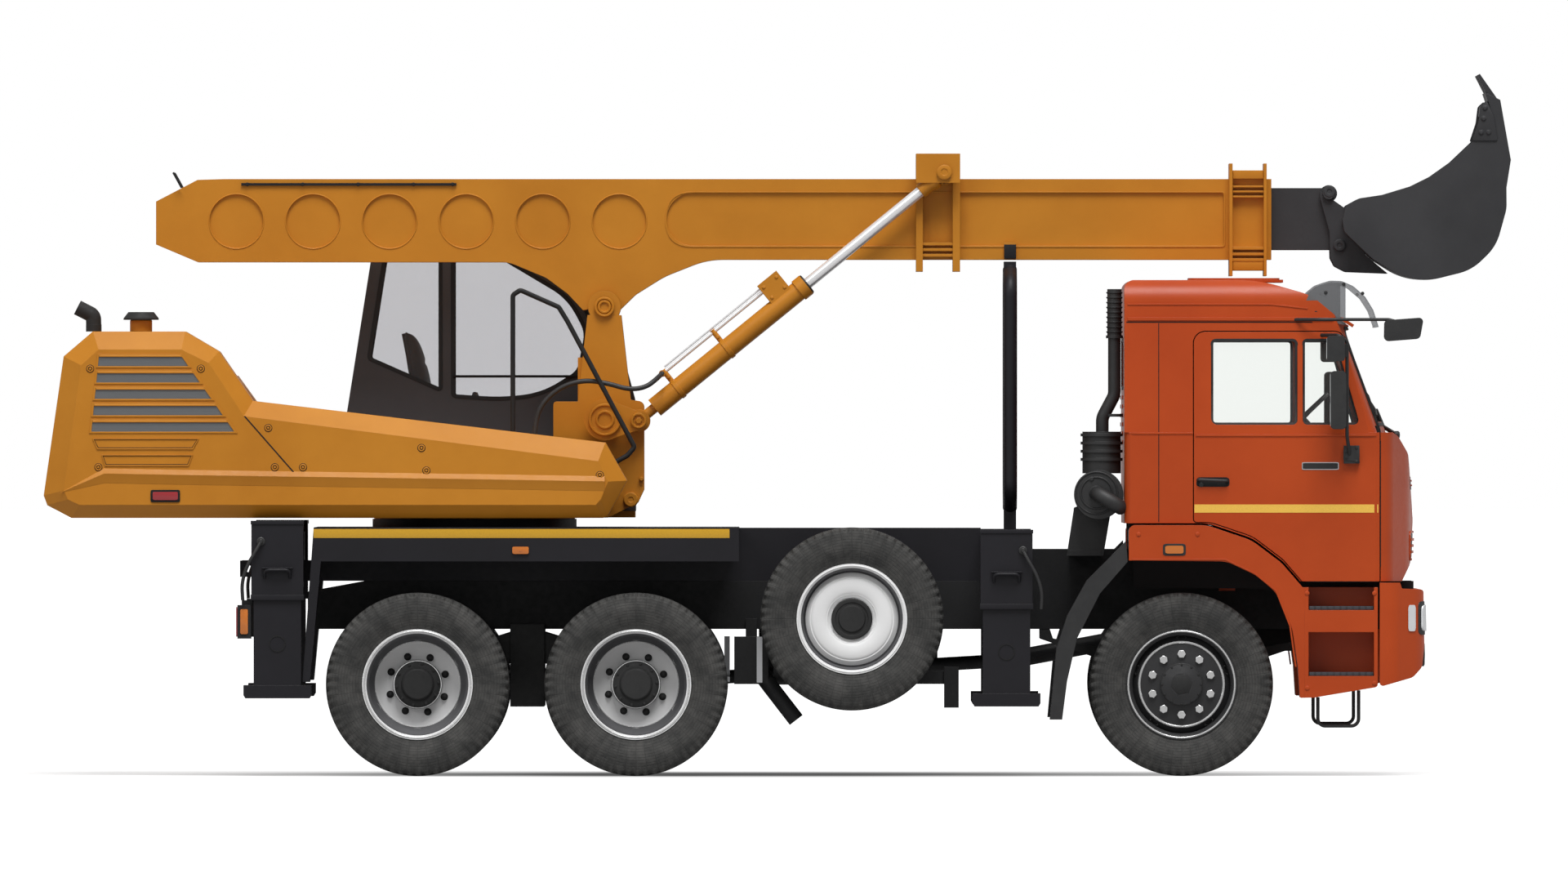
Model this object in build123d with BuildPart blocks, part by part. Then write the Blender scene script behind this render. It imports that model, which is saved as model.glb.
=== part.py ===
"""Truck-mounted excavator: a telescopic digging boom on a slewing upper, on a three-axle truck chassis.

Frame: +X towards the truck's nose, +Y to the driver's left, +Z up, in millimetres. The origin is on the ground, under the
middle of the machine's length and width. The boom lies forward over the cab, on its rest, as it does on the road.
"""

import math
import os

from build123d import *

os.makedirs("parts", exist_ok=True)

# ---------------------------------------------------------------- driving dimensions

HANDS = (("right", -1), ("left", 1))
TOUCH = 0.3  # seat gap between pieces that rest on each other
RUNNING = 0.4  # radial gap at pins and shafts
CLEAR = 6  # gap between pieces that move past each other

# wheels
WHEEL_R = 560
TYRE_WIDTH = 290
TYRE_BORE_R = 325
BEAD_WIDTH = 210
RIM_FLANGE_R = 338
RIM_WELL_R = 300
DISC_R = 258
HUB_R = 147
DRUM_R = 205
STUB_R = 60
FRONT_AXLE_X = 2465
WHEELBASE = 3335
BOGIE_SPREAD = 1335
FRONT_TRACK = 2050
REAR_TRACK = 1870
DUAL_SPACING = 330
KINGPIN_SPREAD = 1690
KINGPIN_R = 25
AXLE_TUBE_R = 80
DIFF_R = 190
SPARE_X = 450
SPARE_Y = -1050
SPARE_Z = 960
ENGINE_X = (2230, 3330)
ENGINE_HALF = 320
SHAFT_R = 42
SHAFT_FLANGE = 30
SHAFT_Z = 580

# chassis
RAIL_BOTTOM = 895
RAIL_TOP = 1190
RAIL_OUTER = 432
RAIL_FLANGE = 82
RAIL_WALL = 10
RAIL_REAR_X = -2885
RAIL_FRONT_X = 3895
BUMPER_WALL = 60
SUBFRAME_TOP = 1315
DECK_TOP = 1520
DECK_REAR_LAP = 62
DECK_FRONT_X = -240
DECK_PLATE = 12
PANEL_DROP = 208
RISER_TOP = 1385

# outriggers
SLEEVE_SIZE = 318
SLEEVE_WALL = 9
SLEEVE_OUTER = 1240
REAR_SLEEVE_X = -3061
REAR_SLEEVE_BOTTOM = 1075
FRONT_SLEEVE_X = 1395
FRONT_SLEEVE_BOTTOM = 1020
SLEEVE_HEIGHT = 485
LEG_GAP = 5
LEG_PLAY = 0.5
FOOT_THICK = 80
FOOT_LENGTH = 415
FOOT_WIDTH = 320
REAR_FOOT_BOTTOM = 475
FRONT_FOOT_BOTTOM = 425
OUTRIGGER_BEAM_TOP = 1490

# slewing upper
SLEW_X = -1865
TAIL_SWING = 2625
SLEW_RING_R = 627
SLEW_RING_HEIGHT = 50
SLEW_DISC_HEIGHT = 40
UPPER_BOTTOM = 1577
SLOT_HALF = 245
FRAME_PLATE = 38
HOUSING_INNER = 440
HOUSING_OUTER = 1250
HOUSING_BEVEL = 100
PLATFORM_TOP = 1617
OPERATOR_OUTER = 1240
OPERATOR_WALL = 40

# boom
PIVOT_X = -1067
PIVOT_Z = 2870
PIVOT_PIN_R = 45
MAST_TOP_R = 100
BOOM_HALF = 235
BOOM_TOP = 3655
BOOM_BOTTOM = 3160
BOOM_TAIL_BOTTOM = 3145
BOOM_TAIL_X = -3818
BOOM_FRONT_X = 3025
COLLAR_HALF = 290
INNER_HALF = 185
INNER_BOTTOM = 3220
INNER_TOP = 3600
INNER_REAR_X = -480
INNER_FRONT_X = 3395
BORE_GAP = 8
SLIDE_PLAY = 0.5
BUCKET_PIN_X = 3377.5
BUCKET_PIN_Z = 3566
BUCKET_PIN_R = 37
BUCKET_HALF = 500
BUCKET_REACH = 1112.5
BUCKET_PLATE = 25
EAR_GAP = 7

# lift cylinders
LIFT_Y = 350
LIFT_BASE = (-856.5, 2172)
LIFT_ROD_PIN = (1018, 3696.5)
BARREL_R = 61
ROD_R = 33.5
BARREL_START = 125
BARREL_LENGTH = 1325
EYE_HALF = 30
LIFT_PIN_R = 43
ROD_PIN_R = 30
LIFT_DRIFT = 18

# truck cab
CAB_HALF = 1210
CAB_WALL = 60
CAB_REAR_X = 2115
CAB_BOTTOM = 1190
CAB_BELT = 2100
CAB_REAR_BOTTOM = 1545
DOOR_GAP = 6
DOOR_REAR_X = 2540
DOOR_FRONT_X = 3675
GLASS_INSET = 22
GLASS_THICK = 8
TUNNEL_HALF = 905
VISOR_HALF = 1150
VISOR_THICK = 9
VISOR_CHEEK = 15

MID_AXLE_X = FRONT_AXLE_X - WHEELBASE
REAR_AXLE_X = MID_AXLE_X - BOGIE_SPREAD
BOGIE_X = (MID_AXLE_X + REAR_AXLE_X) / 2
DECK_REAR_X = REAR_SLEEVE_X + SLEEVE_SIZE / 2 + DECK_REAR_LAP
TAIL_X = SLEW_X - TAIL_SWING
RING_TOP = DECK_TOP + SLEW_RING_HEIGHT
MAST_OUTER = SLOT_HALF + FRAME_PLATE

# ---------------------------------------------------------------- shared forms


def save(piece, name):
    """Label a finished piece and write it to its STEP file."""
    piece.part.label = name
    export_step(piece.part, f"parts/{name}.step")


def face_through(corners, plane, depth=0):
    """A flat face on the plane, through (u, v) or (u, v, corner radius) points, drawn in by the depth all round."""
    points = [corner[:2] for corner in corners]
    radii = [corner[2] if len(corner) > 2 else 0 for corner in corners]
    with BuildSketch(plane) as face:
        with BuildLine():
            if any(radii):
                FilletPolyline(*points, radius=radii, close=True)
            else:
                Polyline(*points, close=True)
        make_face()
        if depth:
            offset(amount=-depth, kind=Kind.INTERSECTION)
    return face.sketch


def side_prism(corners, low, high, mode=Mode.ADD):
    """A prism with its (x, z) outline seen from the side, from y = low to y = high."""
    return extrude(face_through(corners, Plane.XZ.offset(-high)), amount=high - low, mode=mode)


def plan_prism(corners, low, high, mode=Mode.ADD):
    """A prism with its (x, y) outline seen from above, from z = low to z = high."""
    return extrude(face_through(corners, Plane.XY.offset(low)), amount=high - low, mode=mode)


def front_prism(corners, low, high, mode=Mode.ADD):
    """A prism with its (y, z) outline seen from the front, from x = low to x = high."""
    return extrude(face_through(corners, Plane.YZ.offset(low)), amount=high - low, mode=mode)


def block(x, y, z, mode=Mode.ADD):
    """A box that spans three (low, high) pairs."""
    spans = (x, y, z)
    with Locations(tuple((low + high) / 2 for low, high in spans)):
        return Box(*(high - low for low, high in spans), mode=mode)


def both(low, high):
    """The two (low, high) spans, right and left, of a pair that mirrors about the middle."""
    return ((-high, -low), (low, high))


def bar(start, end, radius, mode=Mode.ADD):
    """A round bar between two points."""
    along = Vector(*end) - Vector(*start)
    with BuildSketch(Plane(origin=start, z_dir=along)) as ring:
        Circle(radius)
    return extrude(ring.sketch, amount=along.length, mode=mode)


def pin(x, z, low, high, radius, mode=Mode.ADD):
    """A round bar, bore or boss along Y."""
    return bar((x, low, z), (x, high, z), radius, mode)


def bent_tube(route, radius, bend):
    """A round tube along straight runs joined by arcs of one radius."""
    with BuildLine() as path:
        FilletPolyline(*route, radius=bend)
    with BuildSketch(Plane(origin=path.line @ 0, z_dir=path.line % 0)) as ring:
        Circle(radius)
    return sweep(ring.sketch, path=path.line)


def turned(corners, x, y, z, side, mode=Mode.ADD):
    """A solid of revolution about an axis along Y, from (radius, distance outward) points."""
    plane = Plane(origin=(x, y, z), x_dir=(1, 0, 0), z_dir=(0, 0, side))
    return revolve(face_through(corners, plane), axis=Axis((x, y, z), (0, 1, 0)), mode=mode)


# ---------------------------------------------------------------- wheels

BEAD = BEAD_WIDTH / 2
TYRE_PROFILE = [
    (TYRE_BORE_R, -BEAD),
    (TYRE_BORE_R + 125, -TYRE_WIDTH / 2),
    (WHEEL_R - 25, -TYRE_WIDTH / 2 + 6),
    (WHEEL_R, -TYRE_WIDTH / 2 + 34),
    (WHEEL_R, TYRE_WIDTH / 2 - 34),
    (WHEEL_R - 25, TYRE_WIDTH / 2 - 6),
    (TYRE_BORE_R + 125, TYRE_WIDTH / 2),
    (TYRE_BORE_R, BEAD),
]
BARREL_R_OUTER = TYRE_BORE_R - TOUCH
FLANGE_IN = BEAD + 6
FLANGE_OUT = BEAD + 18


def rim_edge(centre):
    """The outward lip of a rim, from its well to its bead seat, for a tyre centred there."""
    return [
        (RIM_WELL_R, centre + BEAD - 8),
        (RIM_FLANGE_R - 24, centre + FLANGE_OUT - 4),
        (RIM_FLANGE_R, centre + FLANGE_OUT),
        (RIM_FLANGE_R, centre + FLANGE_IN),
        (BARREL_R_OUTER, centre + BEAD + 2),
    ]


def inner_edge(centre):
    """The same lip at the tyre's inward side, in the order that follows on."""
    return [(radius, 2 * centre - y) for radius, y in reversed(rim_edge(centre))]


HALF_DUAL = DUAL_SPACING / 2
STUB_END = 60
TWIN_RIM = (
    [(0, STUB_END), (0, 190), (95, 190), (95, 172), (HUB_R, 160), (HUB_R, 90), (DISC_R, 90), (RIM_WELL_R, 140)]
    + rim_edge(HALF_DUAL)
    + inner_edge(HALF_DUAL)[:2]
    + [(radius, -y) for radius, y in reversed(inner_edge(HALF_DUAL)[:2])]
    + inner_edge(-HALF_DUAL)
    + [(RIM_WELL_R, -60), (DRUM_R, -60), (DRUM_R, -230), (STUB_R + RUNNING, -230), (STUB_R + RUNNING, STUB_END)]
)
FRONT_STUB_END = 40
FRONT_RIM = (
    [(0, FRONT_STUB_END), (0, 150), (67, 150), (129, 132), (129, 100), (DISC_R, 82), (RIM_WELL_R, 50)]
    + rim_edge(0)
    + inner_edge(0)
    + [(RIM_WELL_R, 30), (200, 30), (200, -70), (STUB_R + RUNNING, -70), (STUB_R + RUNNING, FRONT_STUB_END)]
)
SPARE_RIM = (
    [(0, 0), (0, 70), (126, 70), (126, 40), (150, 72), (DISC_R, 72), (RIM_WELL_R, 40)]
    + rim_edge(0)
    + inner_edge(0)
    + [(RIM_WELL_R, 0)]
)

for hand, side in HANDS:
    with BuildPart() as tyre:
        turned(TYRE_PROFILE, FRONT_AXLE_X, side * FRONT_TRACK / 2, WHEEL_R, side)
    save(tyre, f"tyre_front_{hand}")
    with BuildPart() as rim:
        turned(FRONT_RIM, FRONT_AXLE_X, side * FRONT_TRACK / 2, WHEEL_R, side)
    save(rim, f"rim_front_{hand}")
    for row, axle_x in (("mid", MID_AXLE_X), ("rear", REAR_AXLE_X)):
        with BuildPart() as tyre:
            for shift in (-HALF_DUAL, HALF_DUAL):
                turned(TYRE_PROFILE, axle_x, side * (REAR_TRACK / 2 + shift), WHEEL_R, side)
        save(tyre, f"tyres_{row}_{hand}")
        with BuildPart() as rim:
            turned(TWIN_RIM, axle_x, side * REAR_TRACK / 2, WHEEL_R, side)
        save(rim, f"rims_{row}_{hand}")

with BuildPart() as spare_tyre:
    turned(TYRE_PROFILE, SPARE_X, SPARE_Y, SPARE_Z, -1)
save(spare_tyre, "spare_tyre")

with BuildPart() as spare_rim:
    turned(SPARE_RIM, SPARE_X, SPARE_Y, SPARE_Z, -1)
save(spare_rim, "spare_rim")

# ---------------------------------------------------------------- axles, springs and knuckles

KINGPIN_Y = KINGPIN_SPREAD / 2
BOSS_R = 50
BOSS_HALF = 60
EAR_THICK = 55
WEB_IN = KINGPIN_Y + BOSS_R + 10
WEB_OUT = FRONT_TRACK / 2 - 80
SPRING_IN = 352
SPRING_OUT = 430
REAR_SPRING_IN = 485
REAR_SPRING_OUT = 585

for hand, side in HANDS:
    with BuildPart() as knuckle:
        bar(
            (FRONT_AXLE_X, side * KINGPIN_Y, WHEEL_R - BOSS_HALF - EAR_THICK),
            (FRONT_AXLE_X, side * KINGPIN_Y, WHEEL_R + BOSS_HALF + EAR_THICK),
            KINGPIN_R,
        )
        for low in (WHEEL_R - BOSS_HALF - EAR_THICK, WHEEL_R + BOSS_HALF + 1):
            span = sorted((side * (KINGPIN_Y - 45), side * WEB_OUT))
            block((FRONT_AXLE_X - 50, FRONT_AXLE_X + 50), span, (low, low + EAR_THICK - 1))
        span = sorted((side * WEB_IN, side * WEB_OUT))
        web_z = (WHEEL_R - BOSS_HALF - EAR_THICK, WHEEL_R + BOSS_HALF + EAR_THICK)
        block((FRONT_AXLE_X - 55, FRONT_AXLE_X + 55), span, web_z)
        pin(
            FRONT_AXLE_X,
            WHEEL_R,
            *sorted((side * WEB_IN, side * (FRONT_TRACK / 2 + FRONT_STUB_END - TOUCH))),
            STUB_R,
        )
    save(knuckle, f"knuckle_{hand}")

with BuildPart() as axles:
    # front beam with its kingpin bosses, under the two leaf packs
    beam_z = (WHEEL_R - 55, WHEEL_R + 45)
    block((FRONT_AXLE_X - 55, FRONT_AXLE_X + 55), (-KINGPIN_Y + BOSS_R - 8, KINGPIN_Y - BOSS_R + 8), beam_z)
    for hand, side in HANDS:
        foot = (FRONT_AXLE_X, side * KINGPIN_Y)
        bar((*foot, WHEEL_R - BOSS_HALF + 1), (*foot, WHEEL_R + BOSS_HALF - 1), BOSS_R)
        bar((*foot, WHEEL_R - BOSS_HALF), (*foot, WHEEL_R + BOSS_HALF), KINGPIN_R + RUNNING, mode=Mode.SUBTRACT)
    front_leaf = [
        (FRONT_AXLE_X - 860, RAIL_BOTTOM - 60),
        (FRONT_AXLE_X - 300, WHEEL_R + 85),
        (FRONT_AXLE_X - 70, WHEEL_R + 44),
        (FRONT_AXLE_X + 70, WHEEL_R + 44),
        (FRONT_AXLE_X + 300, WHEEL_R + 85),
        (FRONT_AXLE_X + 860, RAIL_BOTTOM - 60),
        (FRONT_AXLE_X + 860, RAIL_BOTTOM - TOUCH),
        (FRONT_AXLE_X + 800, RAIL_BOTTOM - TOUCH),
        (FRONT_AXLE_X + 780, RAIL_BOTTOM - 60),
        (FRONT_AXLE_X + 100, WHEEL_R + 150),
        (FRONT_AXLE_X - 100, WHEEL_R + 150),
        (FRONT_AXLE_X - 780, RAIL_BOTTOM - 60),
        (FRONT_AXLE_X - 800, RAIL_BOTTOM - TOUCH),
        (FRONT_AXLE_X - 860, RAIL_BOTTOM - TOUCH),
    ]
    for span in both(SPRING_IN, SPRING_OUT):
        side_prism(front_leaf, *span)
    # the two driven axles, with the balance springs between them
    for axle_x in (MID_AXLE_X, REAR_AXLE_X):
        tube_end = REAR_TRACK / 2 - 240
        stub_end = REAR_TRACK / 2 + STUB_END - TOUCH
        pin(axle_x, WHEEL_R, -tube_end, tube_end, AXLE_TUBE_R)
        pin(axle_x, WHEEL_R, -stub_end, stub_end, STUB_R)
        pin(axle_x, WHEEL_R, -DIFF_R, DIFF_R, DIFF_R)
    spring_end = BOGIE_SPREAD / 2 + 60
    spring_top = WHEEL_R + AXLE_TUBE_R - 4
    rear_leaf = [
        (BOGIE_X - spring_end, spring_top),
        (BOGIE_X - spring_end + 150, spring_top),
        (BOGIE_X - 90, spring_top + 50),
        (BOGIE_X + 90, spring_top + 50),
        (BOGIE_X + spring_end - 150, spring_top),
        (BOGIE_X + spring_end, spring_top),
        (BOGIE_X + spring_end, spring_top + 45),
        (BOGIE_X + 110, RAIL_BOTTOM - 20),
        (BOGIE_X - 110, RAIL_BOTTOM - 20),
        (BOGIE_X - spring_end, spring_top + 45),
    ]
    for span in both(REAR_SPRING_IN, REAR_SPRING_OUT):
        side_prism(rear_leaf, *span)
    for side in (-1, 1):
        span = sorted((side * (RAIL_OUTER + TOUCH), side * (REAR_SPRING_OUT + 15)))
        block((BOGIE_X - 105, BOGIE_X + 105), span, (420, RAIL_BOTTOM + 30))
    pin(BOGIE_X, 470, -RAIL_OUTER - 10, RAIL_OUTER + 10, 50)
save(axles, "axles_and_springs")

# ---------------------------------------------------------------- chassis

CROSS_MEMBERS = (RAIL_REAR_X + 60, BOGIE_X, MID_AXLE_X + 700, FRONT_SLEEVE_X, RAIL_FRONT_X - 120)
RAIL_SIDE = [
    (RAIL_REAR_X, RAIL_BOTTOM),
    (RAIL_REAR_X, RAIL_TOP - 65),
    (RAIL_REAR_X + 355, RAIL_TOP),
    (RAIL_FRONT_X - TOUCH, RAIL_TOP),
    (RAIL_FRONT_X - TOUCH, RAIL_BOTTOM),
]
RISER_REAR_X = FRONT_SLEEVE_X + SLEEVE_SIZE / 2 - 5
with BuildPart() as chassis_frame:
    for low, high in both(RAIL_OUTER - RAIL_FLANGE, RAIL_OUTER):
        side_prism(RAIL_SIDE, low, high)
    for side in (-1, 1):
        # the channel's hollow, open towards the middle
        span = sorted((side * (RAIL_OUTER - RAIL_FLANGE - 1), side * (RAIL_OUTER - RAIL_WALL)))
        block(
            (RAIL_REAR_X + 365, RAIL_FRONT_X + 1),
            span,
            (RAIL_BOTTOM + RAIL_WALL, RAIL_TOP - RAIL_WALL),
            mode=Mode.SUBTRACT,
        )
        # cab riser on the rail
        riser = sorted((side * (RAIL_OUTER - RAIL_FLANGE), side * RAIL_OUTER))
        block((RISER_REAR_X, CAB_REAR_X - 20), riser, (RAIL_TOP, RISER_TOP))
        block((CAB_REAR_X + 30, CAB_REAR_X + 130), riser, (RAIL_TOP, CAB_REAR_BOTTOM - TOUCH))
        block((CAB_REAR_X - 20, CAB_REAR_X + 30), riser, (RAIL_TOP, RISER_TOP))
    for x in CROSS_MEMBERS:
        block((x - 45, x + 45), (-RAIL_OUTER + 1, RAIL_OUTER - 1), (RAIL_BOTTOM + 60, RAIL_TOP - 50))
    # engine mounts inside the rails
    for x in (ENGINE_X[0] + 250, ENGINE_X[1] - 250):
        for span in both(ENGINE_HALF + TOUCH, RAIL_OUTER - RAIL_WALL + 1):
            block((x - 50, x + 50), span, (990, 1070))
    # spare wheel carrier on the right rail
    pin(SPARE_X, SPARE_Z, SPARE_Y + TOUCH, -RAIL_OUTER + 1, 60)
    block((SPARE_X - 160, SPARE_X + 160), (-RAIL_OUTER - 20, -RAIL_OUTER + 1), (RAIL_BOTTOM + 5, RAIL_TOP - 5))
save(chassis_frame, "chassis_frame")

REAR_BEAM_REAR_X = REAR_SLEEVE_X - SLEEVE_SIZE / 2 + 10
REAR_BEAM_FRONT_X = REAR_SLEEVE_X + SLEEVE_SIZE / 2 - 14
FRONT_BEAM_REAR_X = FRONT_SLEEVE_X - SLEEVE_SIZE / 2 + 5
FRONT_BEAM_FRONT_X = FRONT_SLEEVE_X + SLEEVE_SIZE / 2 - 5
SIDE_PANEL = [
    (DECK_REAR_X, DECK_TOP),
    (DECK_REAR_X + 45, DECK_TOP - PANEL_DROP),
    (DECK_FRONT_X, DECK_TOP - PANEL_DROP),
    (DECK_FRONT_X, DECK_TOP),
]
REAR_FLAP = [
    (DECK_REAR_X, DECK_TOP),
    (DECK_REAR_X + 45, DECK_TOP - PANEL_DROP),
    (DECK_REAR_X - 23, REAR_FOOT_BOTTOM + FOOT_THICK + 20),
    (DECK_REAR_X - 68, REAR_FOOT_BOTTOM + FOOT_THICK + 20),
]
with BuildPart() as deck:
    for low, high in both(RAIL_OUTER - RAIL_FLANGE, RAIL_OUTER):
        block((REAR_BEAM_FRONT_X, FRONT_BEAM_REAR_X), (low, high), (RAIL_TOP, SUBFRAME_TOP))
    block((DECK_REAR_X + 20, FRONT_BEAM_REAR_X), (-RAIL_OUTER, RAIL_OUTER), (SUBFRAME_TOP - 2, DECK_TOP - 5))
    block((DECK_REAR_X, DECK_FRONT_X), (-1200, 1200), (DECK_TOP - DECK_PLATE, DECK_TOP))
    for low, high in both(1200 - DECK_PLATE, 1200):
        side_prism(SIDE_PANEL, low, high)
    for low, high in both(800, 1200):
        side_prism(REAR_FLAP, low, high)
    for x in (DECK_REAR_X + 60, REAR_AXLE_X, BOGIE_X, MID_AXLE_X, DECK_FRONT_X - 30):
        block((x - 8, x + 8), (-1195, 1195), (DECK_TOP - 150, DECK_TOP - 5))
    # fixed race of the slewing ring
    bar((SLEW_X, 0, DECK_TOP - 1), (SLEW_X, 0, RING_TOP), SLEW_RING_R)
save(deck, "deck_and_subframe")


def sleeve(x, bottom, side):
    """A square outrigger sleeve, hollow from below, with a guide collar at its mouth."""
    half = SLEEVE_SIZE / 2
    y = side * (SLEEVE_OUTER - half)
    top = bottom + SLEEVE_HEIGHT
    core = half - SLEEVE_WALL
    guide = half - SLEEVE_WALL - LEG_GAP + LEG_PLAY
    block((x - half, x + half), (y - half, y + half), (bottom, top))
    block((x - core, x + core), (y - core, y + core), (bottom + 40, top - 12), mode=Mode.SUBTRACT)
    block((x - guide, x + guide), (y - guide, y + guide), (bottom - 1, bottom + 41), mode=Mode.SUBTRACT)


SLEEVE_INNER = SLEEVE_OUTER - SLEEVE_SIZE
REST_X = FRONT_SLEEVE_X + 27
POST_HALF = 37
POST_IN = 250
SADDLE_TOP = BOOM_BOTTOM - 12
BOW_Y = 470
BOW_R = 42
with BuildPart() as outriggers:
    beam_y = (-SLEEVE_INNER - 1, SLEEVE_INNER + 1)
    block((REAR_BEAM_REAR_X, REAR_BEAM_FRONT_X), beam_y, (RAIL_TOP + TOUCH, OUTRIGGER_BEAM_TOP))
    block((FRONT_BEAM_REAR_X, FRONT_BEAM_FRONT_X), beam_y, (RAIL_TOP + TOUCH, OUTRIGGER_BEAM_TOP))
    for side in (-1, 1):
        sleeve(REAR_SLEEVE_X, REAR_SLEEVE_BOTTOM, side)
        sleeve(FRONT_SLEEVE_X, FRONT_SLEEVE_BOTTOM, side)
    # goal-post boom rest on the front beam, each post stiffened by a bowed tube, with a saddle bar between them
    for low, high in both(POST_IN, POST_IN + 2 * POST_HALF):
        block((REST_X - POST_HALF, REST_X + POST_HALF), (low, high), (OUTRIGGER_BEAM_TOP + TOUCH, SADDLE_TOP))
    saddle_y = (-POST_IN + TOUCH, POST_IN - TOUCH)
    block((REST_X - POST_HALF, REST_X + POST_HALF), saddle_y, (SADDLE_TOP - 80, SADDLE_TOP))
    for side in (-1, 1):
        post_y = side * (POST_IN + POST_HALF)
        bent_tube(
            [
                (REST_X, post_y, OUTRIGGER_BEAM_TOP + 150),
                (REST_X, side * BOW_Y, OUTRIGGER_BEAM_TOP + 240),
                (REST_X, side * BOW_Y, SADDLE_TOP - 140),
                (REST_X, post_y, SADDLE_TOP - 50),
            ],
            BOW_R,
            110,
        )
    # towing eyes behind the rear beam
    for low, high in both(400, 440):
        block((REAR_BEAM_REAR_X - 90, REAR_BEAM_REAR_X + 1), (low, high), (1215, 1315))
        pin(REAR_BEAM_REAR_X - 45, 1265, low - 1, high + 1, 25, mode=Mode.SUBTRACT)
save(outriggers, "outrigger_beams_and_boom_rest")

for row, leg_x, foot_bottom, sleeve_bottom in (
    ("rear", REAR_SLEEVE_X, REAR_FOOT_BOTTOM, REAR_SLEEVE_BOTTOM),
    ("front", FRONT_SLEEVE_X, FRONT_FOOT_BOTTOM, FRONT_SLEEVE_BOTTOM),
):
    for hand, side in HANDS:
        with BuildPart() as leg:
            half = SLEEVE_SIZE / 2 - SLEEVE_WALL - LEG_GAP
            y = side * (SLEEVE_OUTER - SLEEVE_SIZE / 2)
            top = sleeve_bottom + SLEEVE_HEIGHT - 12 - LEG_GAP
            block((leg_x - half, leg_x + half), (y - half, y + half), (foot_bottom + FOOT_THICK - 1, top))
            foot = [
                (leg_x - FOOT_LENGTH / 2, foot_bottom + 20),
                (leg_x - FOOT_LENGTH / 2 + 12, foot_bottom),
                (leg_x + FOOT_LENGTH / 2 - 12, foot_bottom),
                (leg_x + FOOT_LENGTH / 2, foot_bottom + 20),
                (leg_x + FOOT_LENGTH / 2, foot_bottom + FOOT_THICK),
                (leg_x - FOOT_LENGTH / 2, foot_bottom + FOOT_THICK),
            ]
            side_prism(foot, y - FOOT_WIDTH / 2, y + FOOT_WIDTH / 2)
        save(leg, f"outrigger_leg_{row}_{hand}")

# ---------------------------------------------------------------- power train and tanks below

with BuildPart() as engine:
    block(ENGINE_X, (-ENGINE_HALF, ENGINE_HALF), (760, 1480))
save(engine, "engine_block")

with BuildPart() as underbody:
    # fuel tank on the left, strapped to the rail
    front_prism([(600, 580, 60), (1160, 580, 60), (1160, 1120, 60), (600, 1120, 60)], -120, 980)
    for x in (60, 800):
        block((x - 25, x + 25), (RAIL_OUTER + TOUCH, 601), (940, 1060))
    # air tanks and silencer on the right, behind the spare wheel
    bar((-30, -690, 680), (730, -690, 680), 125)
    for x in (60, 670):
        block((x - 25, x + 25), (-700, -RAIL_OUTER - TOUCH), (800, 890))
        block((x - 25, x + 25), (-640, -RAIL_OUTER - TOUCH), (780, 940))
    block((-270, -60), (-840, -470), (560, 850))
    block((-200, -130), (-560, -RAIL_OUTER - TOUCH), (849, 960))
    bent_tube([(-165, -690, 700), (-60, -800, 560), (110, -800, 340)], 50, 60)
    block((1015, 1105), (-760, -660), (415, 665))
    block((700, 1016), (-730, -690), (560, 640))
    # shafts from the gearbox to the two driven axles
    output = (ENGINE_X[0] - TOUCH - SHAFT_FLANGE, 0, 850)
    input_x = MID_AXLE_X + DIFF_R + TOUCH + SHAFT_FLANGE
    bar((ENGINE_X[0] - TOUCH, 0, 850), output, 80)
    bar((output[0] + 5, 0, 850), (1400, 0, 700), 55)
    bar((1401, 0, 700), (input_x - 5, 0, SHAFT_Z), SHAFT_R)
    bar((input_x, 0, SHAFT_Z), (input_x - SHAFT_FLANGE, 0, SHAFT_Z), 62)
    bar((MID_AXLE_X - DIFF_R - TOUCH, 0, SHAFT_Z), (REAR_AXLE_X + DIFF_R + TOUCH, 0, SHAFT_Z), SHAFT_R)
save(underbody, "underbody_tanks_and_shafts")

WING_FOOT = ((3275, 480), (3663, 545))
LOOP_X = (3299, 3548)
LOOP_Y = 1085
LOOP_R = 11
LOOP_BOTTOM = 306


def wing_bottom(x):
    """Height of the sloping foot of the wing above the ground."""
    (rear, low), (front, high) = WING_FOOT
    return low + (x - rear) * (high - low) / (front - rear)


ARCH_OUTER = [(2125, 1435), (1885, 1195), (1765, 980), (1700, 780), (1660, 345)]
ARCH_INNER = [(1735, 345), (1765, 580), (1825, 840), (1965, 1115), (2135, 1310)]
with BuildPart() as mudguards:
    for low, high in both(900, 1235):
        side_prism(ARCH_OUTER + ARCH_INNER, low, high)
    for low, high in both(RAIL_OUTER + TOUCH, 901):
        block((1900, 1960), (low, high), (1130, 1180))
    # foot loops below the cab steps
    for y in (-LOOP_Y, LOOP_Y):
        rear, front = LOOP_X
        bent_tube(
            [
                (rear, y, wing_bottom(rear - LOOP_R) - TOUCH),
                (rear, y, LOOP_BOTTOM),
                (front, y, LOOP_BOTTOM),
                (front, y, wing_bottom(front - LOOP_R) - TOUCH),
            ],
            LOOP_R,
            45,
        )
save(mudguards, "mudguards_and_foot_loops")

# ---------------------------------------------------------------- truck cab

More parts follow.
